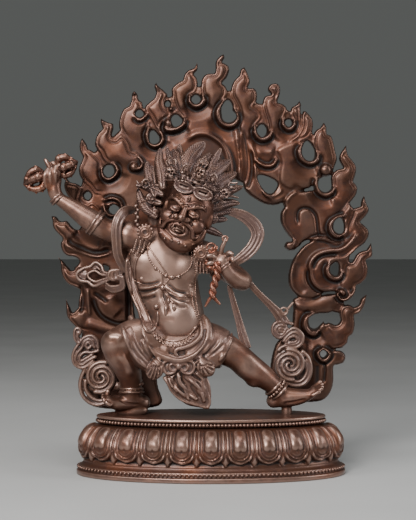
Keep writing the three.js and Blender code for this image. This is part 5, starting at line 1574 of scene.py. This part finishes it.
def garment():
    forms = Forms()
    # the cloth over both thighs and the hips
    rod(forms, [(-13, -1.6, 35.5, 6.6, 5.9), (-17.4, -4, 36, 6.4, 5.8),
        (-20.6, -5.9, 36.2, 5.6, 5.2)], 18, ends=False)
    rod(forms, [(-4.1, -1.4, 35.5, 6.6, 5.8), (0.3, -2.1, 34.6, 6.2, 5.5),
        (4, -2.5, 33.7, 5.2, 5.1)], 18, ends=False)
    rod(forms, [(-21.6, -6.2, 38.3, 3, 4.2), (-20, -6.2, 35.1, 3.6, 4), (-18.4, -6, 32.2, 3.2, 3.6),
        (-16.6, -5.8, 29.5, 2, 2.8)], 16)
    blob(forms, (-8.9, -1.8, 34.8), (9.2, 6.8, 5.6))
    blob(forms, (-8.3, -4.6, 33.9), (5.8, 3.4, 3.2))
    blob(forms, (-8.9, -1, 37.4), (8.7, 6.4, 4.6))
    clay = cast(forms, 0.22, 10)
    ground = Ground(body_clay.mesh, clay.mesh)
    forms = Forms(clay.mesh)
    # the rolled sash under the belly, and the edge inside it
    rod(forms, [(-21.5, -3.6, 42.4, 0.9, 0.9), (-20.6, -5.2, 40.4, 1.2, 1.1),
        (-19.2, -6.8, 37.8, 1.4, 1.2), (-16.7, -8, 35, 1.5, 1.2), (-14.1, -8.4, 33.4, 1.35, 1.1),
        (-11.4, -8.7, 32.1, 1.2, 1), (-8.6, -8.8, 31.5, 1.2, 1), (-6.1, -8.6, 32.1, 1.2, 1),
        (-4, -8, 33.4, 1.3, 1.1), (-1.9, -7.2, 35.1, 1.5, 1.2), (-0.8, -6.4, 37.7, 1.5, 1.2),
        (-1.1, -4.8, 40.9, 1.2, 1), (-2.2, -3.2, 42.7, 0.9, 0.8)], 12)
    rod(forms, [(-3.2, -4.4, 42.5, 0.5, 0.5), (-2.5, -6, 39.9, 0.55, 0.55), (-2.9, -7.4, 37.6, 0.6, 0.6),
        (-4.8, -8.2, 35.8, 0.6, 0.6), (-7.2, -8.7, 34.8, 0.6, 0.6), (-9, -8.9, 34.4, 0.6, 0.55),
        (-9.5, -8.9, 33.5, 0.55, 0.5), (-9, -9, 32.3, 0.5, 0.5)], 10)
    rod(forms, [(-20.1, -5.4, 39.1, 2.2, 0.9), (-16.2, -7.2, 35.5, 2.2, 0.9),
        (-12, -7.9, 33.7, 2, 0.9)], 12)
    rod(forms, [(-2.1, -5, 39.3, 1.6, 0.9), (-3.2, -6.8, 36, 2, 0.9), (-6.1, -7.8, 33.7, 2, 0.9)], 12)
    # the free edges over the thighs
    for edge in ([(-24.4, 40.6), (-23.6, 38.1), (-22.8, 35.7), (-21.4, 33), (-19.4, 30.3), (-17.3, 28.4)],
                 [(5.7, 38.1), (5.4, 36.5), (4.6, 34.6), (3.3, 32.2), (1.6, 29.7)]):
        line = ground.lay(edge, 0.1, otherwise=-6.5)
        t = np.linspace(0, 1, len(line))
        thick = 0.7 * np.minimum(1, 0.3 + 5 * t * (1 - t))
        sweep(forms, sized(line, thick, thick), 10)
    rod(forms, [(2.7, -4.2, 36.6, 3.2, 1.4), (1.3, -5.8, 34, 3.6, 1.3), (-0.5, -6.2, 31.4, 3.4, 1.2),
        (-1.3, -6.2, 29.5, 2.4, 1)])
    # the cloth that hangs from the shoulder in a long loop
    rod(forms, [(-21.8, -2.6, 57.4, 0.6, 0.6), (-21.5, -3.2, 53.2, 0.9, 0.6), (-20.1, -4, 48.4, 1.1, 0.6),
        (-18.5, -5, 44.4, 1.2, 0.6), (-17, -5.8, 41.5, 1.1, 0.6), (-16.5, -6.2, 39.7, 0.7, 0.5)])
    # gathered ends of the sash
    rod(forms, [(-13.3, -7.9, 32.6, 1.3, 1.1), (-13.8, -8.4, 30.8, 1.9, 1.4),
        (-14.9, -8.5, 28.7, 2.3, 1.5), (-15.9, -8.3, 27.6, 1.9, 1.2)], 14)
    rod(forms, [(-3.7, -7.6, 32.3, 1.3, 1.1), (-2.7, -8.1, 30.5, 1.9, 1.4), (-1.1, -8.1, 29.2, 2.3, 1.5),
        (0, -7.9, 28.9, 1.9, 1.2)], 14)
    # the hanging tail
    rod(forms, [(-8.2, -7.2, 30.4, 3, 0.9), (-7.7, -7.4, 28.6, 5, 0.95), (-6.6, -7.5, 26.4, 5.3, 0.9),
        (-5.1, -7.4, 24.3, 5, 0.85), (-3.5, -7.3, 22.2, 4.3, 0.8), (-2.1, -7.1, 20.4, 2.8, 0.65),
        (-1.1, -7, 18.7, 0.8, 0.45)], 14)
    clay = cast(forms, 0.19, 2)
    view = clay.in_view(slack=1.2)
    cloth = Relief(clay.seen())
    for path in ([(-21.7, 55.2), (-21, 50.3), (-19.2, 45.4), (-17.2, 41.1)],
                 [(-22.4, 54.7), (-21.8, 49.8), (-20.1, 44.9), (-17.9, 40.6)]):
        cloth.stroke(path, 0.35, -0.2, taper=0.2)
    for i in range(6):  # long wrinkles down the near thigh
        fold = [(x + 1.0 * i + 0.3 * math.sin(2.1 * i + 1.4 * k), z - 0.15 * i)
                for k, (x, z) in enumerate([(-23.6, 39.2), (-22.5, 35.7), (-20.7, 32.4), (-17.9, 29.2)])]
        cloth.stroke(fold, 0.42, -0.26, 1.2, taper=0.3)
        cloth.stroke([(x + 0.5, z) for x, z in fold], 0.45, 0.2, 1.2, taper=0.3)
    for i in range(6):  # soft wrinkles over the far thigh
        a = [(4.9, 37.3), (3.3, 34.9), (0.8, 32.7), (-1.4, 31.9)]
        cloth.stroke([(x - 1.3 * i * (1 - 0.12 * k), z - 0.1 * i) for k, (x, z) in enumerate(a)],
                     0.7, 0.22 if i % 2 else -0.3, 1.5, taper=0.3)
    for pleat in PLEATS:
        cloth.stroke(pleat, 0.3, -0.55, 0.9, straight=True)
    for path in TAIL_FOLDS:
        cloth.stroke(path, 0.5, 0.5, 1.2, taper=0.15)
        cloth.stroke([(x + 0.75, z + 0.2) for x, z in path], 0.35, -0.45, taper=0.15)
    for path in TAIL_LINES:
        cloth.stroke(path, 0.35, -0.4, taper=0.2)
    cloth.stroke([(-19.5, 38.1), (-17.6, 35.4), (-14.9, 33.5), (-11.7, 32.2), (-8.9, 31.5), (-6.2, 32.2),
        (-4.1, 33.5), (-2.2, 35.7), (-1.6, 38.9)], 0.5, -0.35)
    clay.carve(cloth, view)
    forms = Forms(clay.mesh)
    ground = Ground(clay.mesh)
    for wide, path in TAIL_CORDS:
        sweep(forms, sized(ground.lay(path, 0.05, otherwise=-7.4), wide, wide), 8)
    # the bow
    for side in (-1, 1):
        for size in (1.0, 0.52):
            rod(forms, [(-8.6 + side * (0.5 + 3.6 * size * x), -9.0, 29.6 + 1.75 * size * z, 0.4)
                        for x, z in BOW], 8, step=0.3)
        blob(forms, (-8.6 + side * 2.1, -8.5, 29.5), (2.0, 0.55, 1.5))
    blob(forms, (-8.6, -9, 29.9), (0.85, 0.8, 0.95))
    return cast(forms, 0.17)


cloth_clay = garment()
dressed_ground = Ground(body_clay.mesh, cloth_clay.mesh)
# The skin has a painted highlight: paler round the middle of the torso, where the light falls.
piece("body", body_clay, aged_copper("skin_copper", warm=0.85, pale=0.07, shine=0.42, grain=0.15,
                                     metal=0.78, painted_highlight=((-11.0, -6.0, 49.0), 22.0, 0.4)), "figure",
      most=90_000)
piece("garment", cloth_clay, aged_copper("cloth_copper", warm=0.3, pale=0.14, shine=0.42, gloss=0.25,
                                         metal=0.7), "figure", most=85_000)


# Scarf

def ridged(forms, rows, ribs, out=0.42):
    """A band with rounded cords along it, laid side by side."""
    line = smooth(rows, 0.6, axes=3)
    sweep(forms, line)
    _, side = ways(line[:, :3])
    wide, deep = line[:, 3:].T
    for i in range(ribs):
        place = (2 * i / (ribs - 1) - 1) * 0.86
        cord = line[:, :3] + side * (wide * place)[:, None]
        cord[:, 1] -= deep * (0.75 - 0.35 * abs(place))
        sweep(forms, sized(cord, np.minimum(0.9 * wide / ribs, out)), 8)


def coil(forms, centre, y, angle, clockwise=False):
    """Two cords that wind in to the middle of a coil, with a thin plate behind them."""
    radius, turns, cord, deep = 4.9, 1.45, 0.72, 0.6
    for start in (angle, angle + 180):
        line = spiral(centre, radius - cord, cord * 0.7, turns, start, clockwise, int(30 * turns) + 8)
        rows = []
        for (x, z), far in zip(line, np.linspace(1, 0, len(line))):
            thick = cord * (0.5 + 0.5 * far**0.5)
            rows.append((*on_eye_line(x, z, y - 0.25 * math.sin(far * 3)), thick, thick * 1.5))
        sweep(forms, rows, 8)
    blob(forms, on_eye_line(*centre, y + deep + 0.35), (radius * 0.95, deep, radius * 0.95))


def strands(forms, y, *lines, wide=0.5):
    """Cords that lie side by side in one plane."""
    for line in lines:
        rod(forms, [(*on_eye_line(*mark, y), wide, wide * 1.4) for mark in line], 8, step=0.4)


def scarf():
    forms = Forms()
    # the loop beside the head
    ridged(forms, [(4.6, -1.8, 70.9, 0.8, 0.6), (7.3, -1.5, 70.4, 1.3, 0.6), (10, -1.3, 69, 1.6, 0.6),
        (12, -1.2, 66.9, 1.75, 0.6), (12.6, -1.3, 64.4, 1.7, 0.6), (11.3, -1.4, 61.5, 1.6, 0.6),
        (9.2, -1.6, 59.3, 1.5, 0.6), (6.5, -2, 57.4, 1.1, 0.6)], 4, 0.55)
    # over the near arm
    ridged(forms, [(-21.1, 0.2, 71.5, 0.9, 0.7), (-22.9, -2.6, 71.2, 1.2, 0.7),
        (-24.4, -4.3, 69.5, 1.3, 0.8), (-25.3, -4.7, 66.6, 1.3, 0.8), (-25.3, -4.5, 63.1, 1.2, 0.8),
        (-25, -3.8, 59.6, 1.1, 0.8), (-24, -2.8, 56.9, 1, 0.8), (-23.2, -2, 55, 0.9, 0.8)], 3, 0.42)
    # the knot and its looped bow
    for mark in ((-26.42, 53.85), (-25.47, 53.99)):
        wire(forms, mark, -1.9, 0.55, 1.25, angle=90, steps=12, step=0.4)
    blob(forms, (-25.4, -1.2, 53.9), (2.0, 1.1, 1.7))
    rod(forms, [(-26.6, 0.4, 54, 0.45), (-29.1, 1.6, 54.6, 0.45), (-29.8, 2.2, 56.2, 0.45),
        (-31.5, 2.6, 57.2, 0.45), (-32.9, 2.7, 56.1, 0.45), (-34.9, 2.8, 55.5, 0.45),
        (-36.6, 2.9, 54, 0.45), (-35.7, 2.8, 52.3, 0.45), (-33.6, 2.6, 51.9, 0.45),
        (-31.9, 2.2, 50.8, 0.45), (-29.6, 1.4, 51.6, 0.45), (-26.6, 0.4, 53, 0.45)], 10, step=0.4)
    rod(forms, [(-27.1, 0.6, 53.6, 0.36), (-29.7, 1.6, 53.9, 0.36), (-31.6, 2.2, 54.9, 0.36),
        (-33.4, 2.4, 54.2, 0.36), (-33.3, 2.3, 53, 0.36), (-31.6, 1.9, 52, 0.36),
        (-29.9, 1.4, 52.4, 0.36), (-27.4, 0.6, 53.2, 0.36)], 10, step=0.4)
    rod(forms, [(-28.6, 1.8, 53.5, 0.3), (-31.1, 2.9, 55.9, 0.3), (-32.2, 3, 55.9, 0.3)], 8)
    rod(forms, [(-34.1, 3.2, 54.8, 0.32), (-35.2, 3.3, 53.9, 0.32), (-34.7, 3.2, 52.6, 0.32)], 8)
    rod(forms, [(-31.7, 3, 56.6, 1, 0.4), (-31.4, 3, 55.4, 1.2, 0.4)], 8)
    rod(forms, [(-35.5, 3.3, 53.9, 1.3, 0.4), (-34.1, 3.2, 53.5, 1.4, 0.4)], 8)
    for k in range(3):  # folds hanging from the knot
        rod(forms, [(*on_eye_line(-24.66 + 0.41 * k, 53.31, -2.4), 0.4),
                    (*on_eye_line(-24.53 + 0.43 * k, 51.14 - 0.41 * k, -1.8), 0.45),
                    (*on_eye_line(-27.1 + 0.33 * k, 50.73 - 0.7 * k, -0.8), 0.4),
                    (*on_eye_line(-28.46, 51.68 - 0.7 * k, 0.2), 0.3)], 8)
    # the long ends to the right
    ridged(forms, [(6.7, -2.6, 54.7, 0.6, 0.5), (9.7, -1.6, 52.3, 0.75, 0.5), (13, 0.2, 48.7, 0.8, 0.5),
        (16.3, 1.8, 45.4, 0.95, 0.5), (18.6, 2.8, 42.8, 1.3, 0.6), (19.9, 3.2, 40.4, 1.6, 0.6)], 3)
    ridged(forms, [(4.9, -1.6, 50.9, 0.6, 0.45), (6.2, -1.4, 46.1, 0.75, 0.45),
        (7.6, -1.4, 41.2, 0.9, 0.45), (8.6, -1.6, 37.4, 1.1, 0.5), (9.7, -1.8, 34.2, 1.1, 0.4)], 3)
    rod(forms, [(19.4, 2.6, 42.3, 0.4), (20.8, 3, 44.2, 0.4), (22.4, 3.6, 46.1, 0.35)], 8)
    wire(forms, (19.8, 44), 2.4, 0.33, 0.95, steps=12)
    # the coiled ends, right and left
    strands(forms, 3.0, [(22, 40.6), (20.1, 41), (17.9, 41), (16.8, 39.8), (16.9, 38), (18.3, 36.8),
        (19.6, 37.2), (20.9, 38.5), (22, 39.3), (23.3, 39.1), (24.8, 37.7), (24.9, 36), (23.9, 34.6),
        (22.5, 34.1), (20.6, 34.6), (19.1, 34.2), (18.3, 33.4)],
        [(20.3, 40), (18.7, 40.2), (17.7, 39.4), (17.7, 38.3), (18.7, 37.5), (19.8, 38.1), (20.5, 39.4)],
        [(19.4, 38.5), (18.5, 38.7), (18.7, 39.4), (19.5, 39.2)],
        [(19.8, 36), (20.9, 37.3), (22.4, 38.3), (23.8, 37.7), (24.2, 36.2), (23.4, 35.2), (22, 34.9),
            (20.3, 35.2)],
        [(20.3, 35.7), (21.4, 36.9), (22.7, 37.2), (23.4, 36.4), (22.8, 35.6), (21.3, 35.5)])
    blob(forms, (18.9, 3.7, 38.7), (2.1, 0.6, 2.1))
    blob(forms, (22.7, 3.7, 36.2), (2.4, 0.6, 2.4))
    coil(forms, (21.5, 29.5), 3.0, 100, clockwise=True)
    strands(forms, 3.2, [(24.9, 33), (26.4, 31.4), (27.1, 28.9), (26.7, 26.2), (25.1, 24.2), (22.5, 23.8),
        (20.1, 24.7)],
            [(25.7, 30.5), (26.2, 28.4), (25.6, 26.3), (24, 24.9), (21.7, 24.9)], wide=0.62)
    rod(forms, [(18.6, 4, 23.6, 1.6, 0.9), (20.8, 4, 24.7, 2.4, 0.9)], 10)
    strands(forms, 3.2, [(-30.6, 34.1), (-30.9, 36), (-32.4, 37.3), (-34.3, 36.9), (-35.8, 35.2),
        (-37, 33.4), (-37.5, 31.4), (-36.9, 29.5), (-35.2, 28.6), (-33.6, 29.1), (-32, 30.5)],
            [(-31.6, 34.3), (-32, 35.8), (-33.2, 36.4), (-34.3, 35.7), (-35, 34.2), (-36.2, 32.7),
                (-36.7, 31.1), (-36, 29.8), (-34.8, 29.5), (-33.3, 30.6), (-31.4, 31.6)],
            [(-32.5, 34.6), (-33.3, 33.9), (-33.9, 34.7), (-33.3, 35.6), (-32.8, 35.2)],
            [(-30.6, 33.3), (-32.5, 32.8), (-34.4, 32.8), (-35.6, 31.6), (-35.3, 30.5), (-34.1, 31.1),
                (-32.2, 32.2)],
            [(-35.6, 38), (-35.4, 38.9), (-36.3, 39.4), (-36.9, 38.7), (-37, 37.3), (-36.6, 36),
                (-35.8, 35.3)], [(-36, 38.3), (-36.1, 37), (-35.6, 36.1)])
    blob(forms, (-33.5, 3.9, 34.8), (2.4, 0.6, 2.3))
    blob(forms, (-35, 3.9, 30.7), (2.7, 0.6, 2.3))
    coil(forms, (-29.9, 26.1), 3.2, 70)
    strands(forms, 3.4, [(-34.1, 28.4), (-35.1, 26.2), (-35.5, 23.8), (-34.8, 21.1), (-32.9, 19.2),
        (-30.5, 18.6), (-28.2, 19.3)],
            [(-34.1, 25.1), (-33.9, 22.7), (-32.5, 20.7), (-30.5, 19.7), (-28.7, 20)], wide=0.62)
    rod(forms, [(-29, 4.4, 22.7, 1.4, 0.9), (-25.5, 4, 23.3, 1.2, 0.9)], 10)
    return cast(forms, 0.17, 1)


piece("scarf", scarf(), aged_copper("scarf_copper", warm=0.1, pale=0.12, shine=0.42, gloss=0.3, dark=0.15,
                                    metal=0.6), "figure", most=110_000)


# Sceptre, noose and jewellery

def sceptre():
    forms = Forms()
    rod(forms, [(-47.9, -2.4, 79.7, 0.5), (-44.7, -2.4, 80.7, 0.75), (-41.8, -2.4, 82.1, 0.75),
        (-38.5, -2.4, 83.3, 0.5)], 12)
    for x, z, r in [(-45.8, 80.5, 1.5), (-44.7, 81, 0.95), (-42.4, 82, 0.95), (-41.3, 82.4, 1.5)]:
        spot = on_eye_line(x, z, -2.4)
        blob(forms, spot, (0.45, r, r), roll=-22)
        for k in range(8):
            a = k * math.pi / 4
            away = Vector((0.39 * math.cos(a), math.sin(a), 0.92 * math.cos(a)))
            ball(forms, spot + away * r * 0.82, 0.42, fine=1)
    # prongs that close round a middle spike, at both ends
    for rows in ([(-45.8, -2.4, 81.7, 0.75), (-47.1, -2.6, 82.2, 0.9), (-48.6, -2.6, 81.4, 0.8),
        (-49.6, -2.5, 79.9, 0.55), (-50.2, -2.4, 78.4, 0.3)],
                 [(-45.1, -2.4, 79.3, 0.75), (-45.4, -2.6, 77.6, 0.9), (-47.1, -2.6, 77, 0.8),
                     (-48.9, -2.5, 77.5, 0.55), (-50.2, -2.4, 78.3, 0.3)],
                 [(-45.3, -4, 80.5, 0.7), (-46.3, -4.7, 80.3, 0.85), (-48.3, -4.2, 79.5, 0.75),
                     (-50.1, -2.8, 78.6, 0.3)],
                 [(-45.7, -0.8, 80.7, 0.5), (-46.9, 0.1, 80.4, 0.58), (-48.7, -0.5, 79.6, 0.5),
                     (-50.2, -2, 78.6, 0.22)],
                 [(-46.1, -2.4, 80.1, 0.9), (-48.2, -2.4, 79.3, 0.95), (-50.1, -2.4, 78.4, 0.35)],
                 [(-41.2, -2.4, 83.8, 0.75), (-40.8, -2.6, 85.2, 0.9), (-39.2, -2.6, 85.6, 0.8),
                     (-37.7, -2.5, 84.9, 0.55), (-36.1, -2.4, 84.4, 0.3)],
                 [(-40.7, -2.4, 81.5, 0.75), (-39.3, -2.6, 80.9, 0.9), (-37.7, -2.6, 81.5, 0.8),
                     (-36.8, -2.5, 82.8, 0.55), (-36.1, -2.4, 84.2, 0.3)],
                 [(-40.5, -4, 82.4, 0.7), (-39.4, -4.7, 82.8, 0.85), (-37.5, -4.2, 83.5, 0.75),
                     (-36.2, -2.8, 84.2, 0.3)],
                 [(-40.8, -0.8, 82.5, 0.5), (-39.8, 0.1, 83, 0.58), (-37.9, -0.5, 83.6, 0.5),
                     (-36.3, -2, 84.3, 0.22)],
                 [(-40.7, -2.4, 82.4, 0.9), (-38.3, -2.4, 83.3, 0.95), (-36.1, -2.4, 84.4, 0.35)]):
        rod(forms, [(x, y, z, 1.22 * r) for x, y, z, r in rows], 10, step=0.3)
        # a knob with five small knops
        for (*spot, _), size in zip(rows[1:-1], (1.2, 1.0, 0.8)):
            ball(forms, spot, size)
            for a in (0, 2.4, 4.8, 7.2, 9.6):
                away = Vector((0.3 * math.cos(5 * a), -0.6 * abs(math.cos(a)), math.sin(a)))
                ball(forms, Vector(spot) + away * size, 0.36, fine=1)
    for mark in ((-48.2, 82.2), (-47.4, 77), (-40.4, 85.7), (-38.6, 81.1)):
        wire(forms, mark, -3.0, 0.2, 0.75, 0.15, 1.3, 40, step=0.2)
    return cast(forms, 0.13)


def rope(forms, rows, twist, strand):
    """Two strands twisted round a line. Rows are x, y, z and the radius the strands run at."""
    line = smooth(rows, 0.22, axes=3)
    spots = line[:, :3]
    run, across = ways(spots)
    front = np.cross(across, run)
    for start in (0, 0.5):
        a = 2 * math.pi * (lengths(spots) / twist + start)[:, None]
        away = (across * np.cos(a) + front * np.sin(a)) * line[:, 3:4]
        sweep(forms, sized(spots + away, strand), 8)


def noose():
    forms = Forms()
    rope(forms, [(-1.3, -8, 58.4, 0.34), (-1.1, -8.3, 57.1, 0.34), (0, -8.6, 55.9, 0.34),
        (1.3, -8.9, 56.5, 0.34), (2, -8.6, 57.6, 0.34)], 2.2, 0.36)
    rope(forms, [(1.7, -8.8, 57.3, 0.55), (1.7, -8.8, 54.9, 0.6), (1.2, -8.6, 52.6, 0.62),
        (0.5, -8.5, 50.4, 0.6), (0.5, -8.3, 48.3, 0.5)], 4.0, 0.56)
    rod(forms, [(0.5, -8.4, 48.8, 0.5), (-0.5, -8.2, 47.5, 0.48), (-1.5, -8, 45.8, 0.34)], 8)
    rod(forms, [(0.5, -8.4, 48.8, 0.5), (1.3, -8.2, 47.5, 0.48), (2.3, -8, 46.4, 0.34)], 8)
    rod(forms, [(0.5, -8.6, 49.1, 0.55), (0.8, -8.5, 47.8, 0.4)], 8)
    # where it comes over the fingers
    rope(forms, [(-1.3, -7.8, 57.8, 0.3), (-0.9, -8.2, 59.7, 0.3), (0.3, -8.4, 61, 0.3),
        (1.6, -8.6, 61.4, 0.3)], 2.0, 0.32)
    for mark, y, r in (((0.1, 61.2), -8.6, 1.25), ((3.8, 63.7), -8.3, 0.7)):
        wire(forms, mark, y, 0.27, r, angle=30, step=0.25)
    return cast(forms, 0.13)


def bead_string(forms, ground, marks, apart, size, out=0.1, otherwise=-6.0):
    """Beads on a thin cord laid over a form."""
    spots = ground.lay(marks, out, 0.3, otherwise)
    sweep(forms, sized(spots, size * 0.42), 6)
    far = lengths(spots)
    for d in np.arange(0, far[-1], apart):
        ball(forms, [np.interp(d, far, column) for column in spots.T], size, fine=1)


def cord(forms, ground, marks, size, out, otherwise=-6.0):
    sweep(forms, sized(ground.lay(marks, out, 0.4, otherwise), size), 10)


def rosette(forms, mark, y, size, petals=13):
    spot = on_eye_line(*mark, y)
    blob(forms, spot, (size * 0.72, 0.5, size * 0.72))
    for k in range(petals):
        a = 2 * math.pi * k / petals
        ball(forms, spot + Vector((math.cos(a), -0.1, math.sin(a))) * size * 0.84, 0.42)
    for r, thick in ((size * 0.62, 0.24), (size * 0.36, 0.27)):
        rod(forms, [(spot.x + r * x, spot.y - 0.45, spot.z + r * z, thick) for x, z in circle(22)], 8,
            step=0.3)


def round_limb(along):
    """The direction of a limb, and the directions to its side and its front."""
    along = Vector(along).normalized()
    side = along.cross(FRONT).normalized()
    return along, side, side.cross(along)


def limb_band(forms, centre, along, radii, thick, rings):
    """Rings round a limb, each with its place along the limb and how far it stands off."""
    along, side, front = round_limb(along)
    for off, r in rings:
        middle = Vector(centre) + along * off
        rod(forms, [(*(middle + side * (radii[0] + r) * x + front * (radii[1] + r) * y), thick)
                    for x, y in circle(26)], 8, step=0.4)


def bells(forms, centre, along, reach, radii):
    """Eighteen small bells round an ankle."""
    _, side, front = round_limb(along)
    for k in range(18):
        a = 2 * math.pi * k / 18
        away = side * reach[0] * math.cos(a) + front * reach[1] * math.sin(a)
        blob(forms, Vector(centre) + away, radii, fine=2)


# Bands: centre, the limb's direction and radii, thickness, and each ring's place and rise.
LIMB_BANDS = [
    # raised arm and its wrist, lowered arm's wrist and its upper part
    ((-31.2, -1.55, 67.9), (0.82, 0.05, -0.57), (3.25, 3.2), 0.5, ((-0.5, 0.1), (0.5, 0.1))),
    ((-41.5, -2.1, 74.5), (0.65, 0, -0.76), (1.72, 1.72), 0.38, ((-0.4, 0.1), (0.45, 0.15))),
    ((3.2, -7, 56.9), (-0.55, -0.15, 0.7), (2.0, 1.9), 0.3, ((-0.7, 0.15), (0.0, 0.15))),
    ((1.9, -0.9, 56.4), (0.9, -0.1, -0.45), (3.3, 3.2), 0.34, ((-0.5, 0.1), (0.4, 0.1))),
    # ankles
    ((-21.5, -1.4, 23.9), (0, 0.1, 1), (2.75, 2.7), 0.36, ((1.5, 0.0), (-0.8, 0.25), (-1.7, 0.45))),
    ((17.9, -0.2, 22.8), (0.7, 0.1, -0.66), (2.75, 2.85), 0.4, ((-1.2, 0.1), (0.9, 0.15))),
]


def jewellery():
    forms = Forms()
    skin = dressed_ground
    # the collar, from shoulder to shoulder
    bead_string(forms, skin, [(-17.1, 61.7), (-17.2, 59.5), (-16.3, 57.4), (-14.9, 55.7), (-13.3, 54.3),
        (-11.4, 53.4), (-9.2, 53.4), (-7.3, 54.3), (-5.8, 55.7), (-5.1, 57.6), (-5.4, 60.1)],
                0.66, 0.34, 0.2)
    for x, z, r in [(-15, 55.6, 0.55), (-12.2, 53.6, 0.6), (-10.6, 53.2, 0.7), (-8.7, 53.4, 0.55)]:
        blob(forms, skin.at(x, z, 0.2), (r, r * 0.8, r), fine=2)
    # cords that cross under the breast and end in drops
    for marks in ([(-17.1, 61.7), (-15.2, 59), (-13, 55.7), (-11.4, 53), (-12.5, 51.4), (-13.1, 50.3)],
                  [(-13.1, 50.3), (-13.1, 47.9), (-12.3, 45.4)],
                  [(-13.1, 50.3), (-11.7, 47.9), (-10.2, 46.3)],
                  [(-20.6, 52.2), (-17.9, 51.1), (-15.2, 51), (-13.3, 50.5)],
                  [(-13, 50.5), (-10.6, 48.7), (-7.9, 47.9), (-4.9, 47.9)]):
        cord(forms, skin, marks, 0.26, 0.12)
    blob(forms, skin.at(-13.1, 50.4, 0.3), (0.85, 0.7, 0.85), fine=2)
    for mark, size in (((-12.2, 44.1), (0.62, 0.6, 1.6)), ((-10, 45), (0.62, 0.6, 1.15)),
                       ((-11.5, 46.7), (0.5, 0.5, 0.9))):
        blob(forms, skin.at(*mark, 0.3), size, fine=2)
    # cords down both flanks
    cord(forms, skin, [(-16.5, 62.5), (-18.4, 60.4), (-20.1, 58.2), (-20.7, 55.7), (-20.6, 53)], 0.34, 0.25)
    cord(forms, skin, [(-21.5, 60.6), (-22.8, 57.4), (-22.8, 53.6), (-22, 50.3), (-20.9, 47.3),
        (-19.5, 44.1), (-18.6, 40.8), (-17.6, 38.9), (-16.5, 38.5), (-15.3, 39.5), (-14.5, 41.4),
        (-14.4, 43.6)], 0.46, 0.3, -5.0)
    cord(forms, skin, [(-18.2, 46), (-17.2, 43.6), (-16, 40.3)], 0.26, 0.2, -5.5)
    ball(forms, skin.at(-14.8, 45.2, 0.8, -6), 0.8)
    bead_string(forms, skin, [(-4.2, 56.8), (-4.1, 53.6), (-4.2, 50.3), (-4.1, 47.6), (-3.7, 44.9),
        (-3.3, 42.7)], 0.6, 0.28, otherwise=-4.5)
    bead_string(forms, skin, [(-5, 49.2), (-4.9, 46.5), (-4.2, 43.8), (-3.3, 41.7)], 0.66, 0.33,
                otherwise=-4.5)
    # the girdle under the belly: a smooth cord with a row of small points below it
    girdle = smooth([(-16, 39.5), (-14.6, 37.9), (-13, 36.6), (-10.8, 35.9), (-8.9, 36), (-7, 36.7),
        (-5.4, 38), (-4.1, 39.8)], 0.62)
    cord(forms, skin, girdle, 0.26, 0.12)
    teeth = [(x, z - (0.5 if k % 2 else 1.5)) for k, (x, z) in enumerate(girdle)]
    for first, second in zip(teeth, teeth[1:]):
        cord(forms, skin, [first, second], 0.2, 0.1)
    for x, z in teeth[::2]:
        blob(forms, skin.at(x, z, 0.1), (0.36, 0.34, 0.36), fine=1)
    # earrings and their tassels
    rosette(forms, (-17.8, 65.4), -6.4, 2.35)
    rosette(forms, (-2.7, 59.8), -8.6, 2.1)
    for rows in ([(-20.1, 63.3), (-20.6, 61.7), (-21.1, 60.1)],
                 [(-19, 63.1), (-19.4, 61.4), (-19.9, 59.8)],
                 [(-17.9, 62.8), (-18.2, 61.2), (-18.7, 60.1)]):
        for x, z in smooth(rows, 0.62):
            ball(forms, on_eye_line(x, z, -5.8), 0.44, fine=1)
    for x, z in [(-20.9, 59.7), (-19.5, 59.4)]:
        blob(forms, on_eye_line(x, z, -5.4), (0.35, 0.4, 0.7), fine=2)
    for k in range(4):
        for x, z in smooth([(x + 0.92 * k, z) for x, z in ((-3.7, 57.6), (-3.8, 56), (-3.8, 54.4))], 0.66):
            ball(forms, on_eye_line(x, z, -8.2 + 0.15 * k), 0.38, fine=1)
    rod(forms, [(-3.9, -7.6, 57.8, 0.5), (-2.1, -7.8, 58, 0.6), (-0.5, -7.6, 57.8, 0.5)], 8)
    blob(forms, (-2.1, -7.2, 56.4), (1.7, 0.8, 1.7))
    for band in LIMB_BANDS:
        limb_band(forms, *band)
    bells(forms, (-21.5, -1.6, 24.6), (0, 0, 1), (2.95, -2.9), (0.46, 0.46, 0.6))
    long_leg = (0.7, 0.1, -0.66)
    bells(forms, Vector((17.9, -0.2, 22.8)) - Vector(long_leg).normalized() * 0.15, long_leg, (2.95, 3.0),
          (0.46, 0.46, 0.46))
    return cast(forms, 0.14)


# The sceptre's hollows darken more strongly with patina dirt and painted shade.
piece("sceptre", sceptre(), aged_copper("sceptre_copper", warm=1.0, red=0.1, shine=0.4, dirt_and_shade=1.4, dark=0.2),
      "figure", most=35_000)
piece("noose", noose(), aged_copper("noose_copper", warm=1.0, red=0.42, shine=0.4, dark=0.1), "figure",
      most=22_000)
piece("jewellery", jewellery(), aged_copper("jewel_copper", warm=0.3, pale=0.12, shine=0.38), "figure",
      most=105_000)
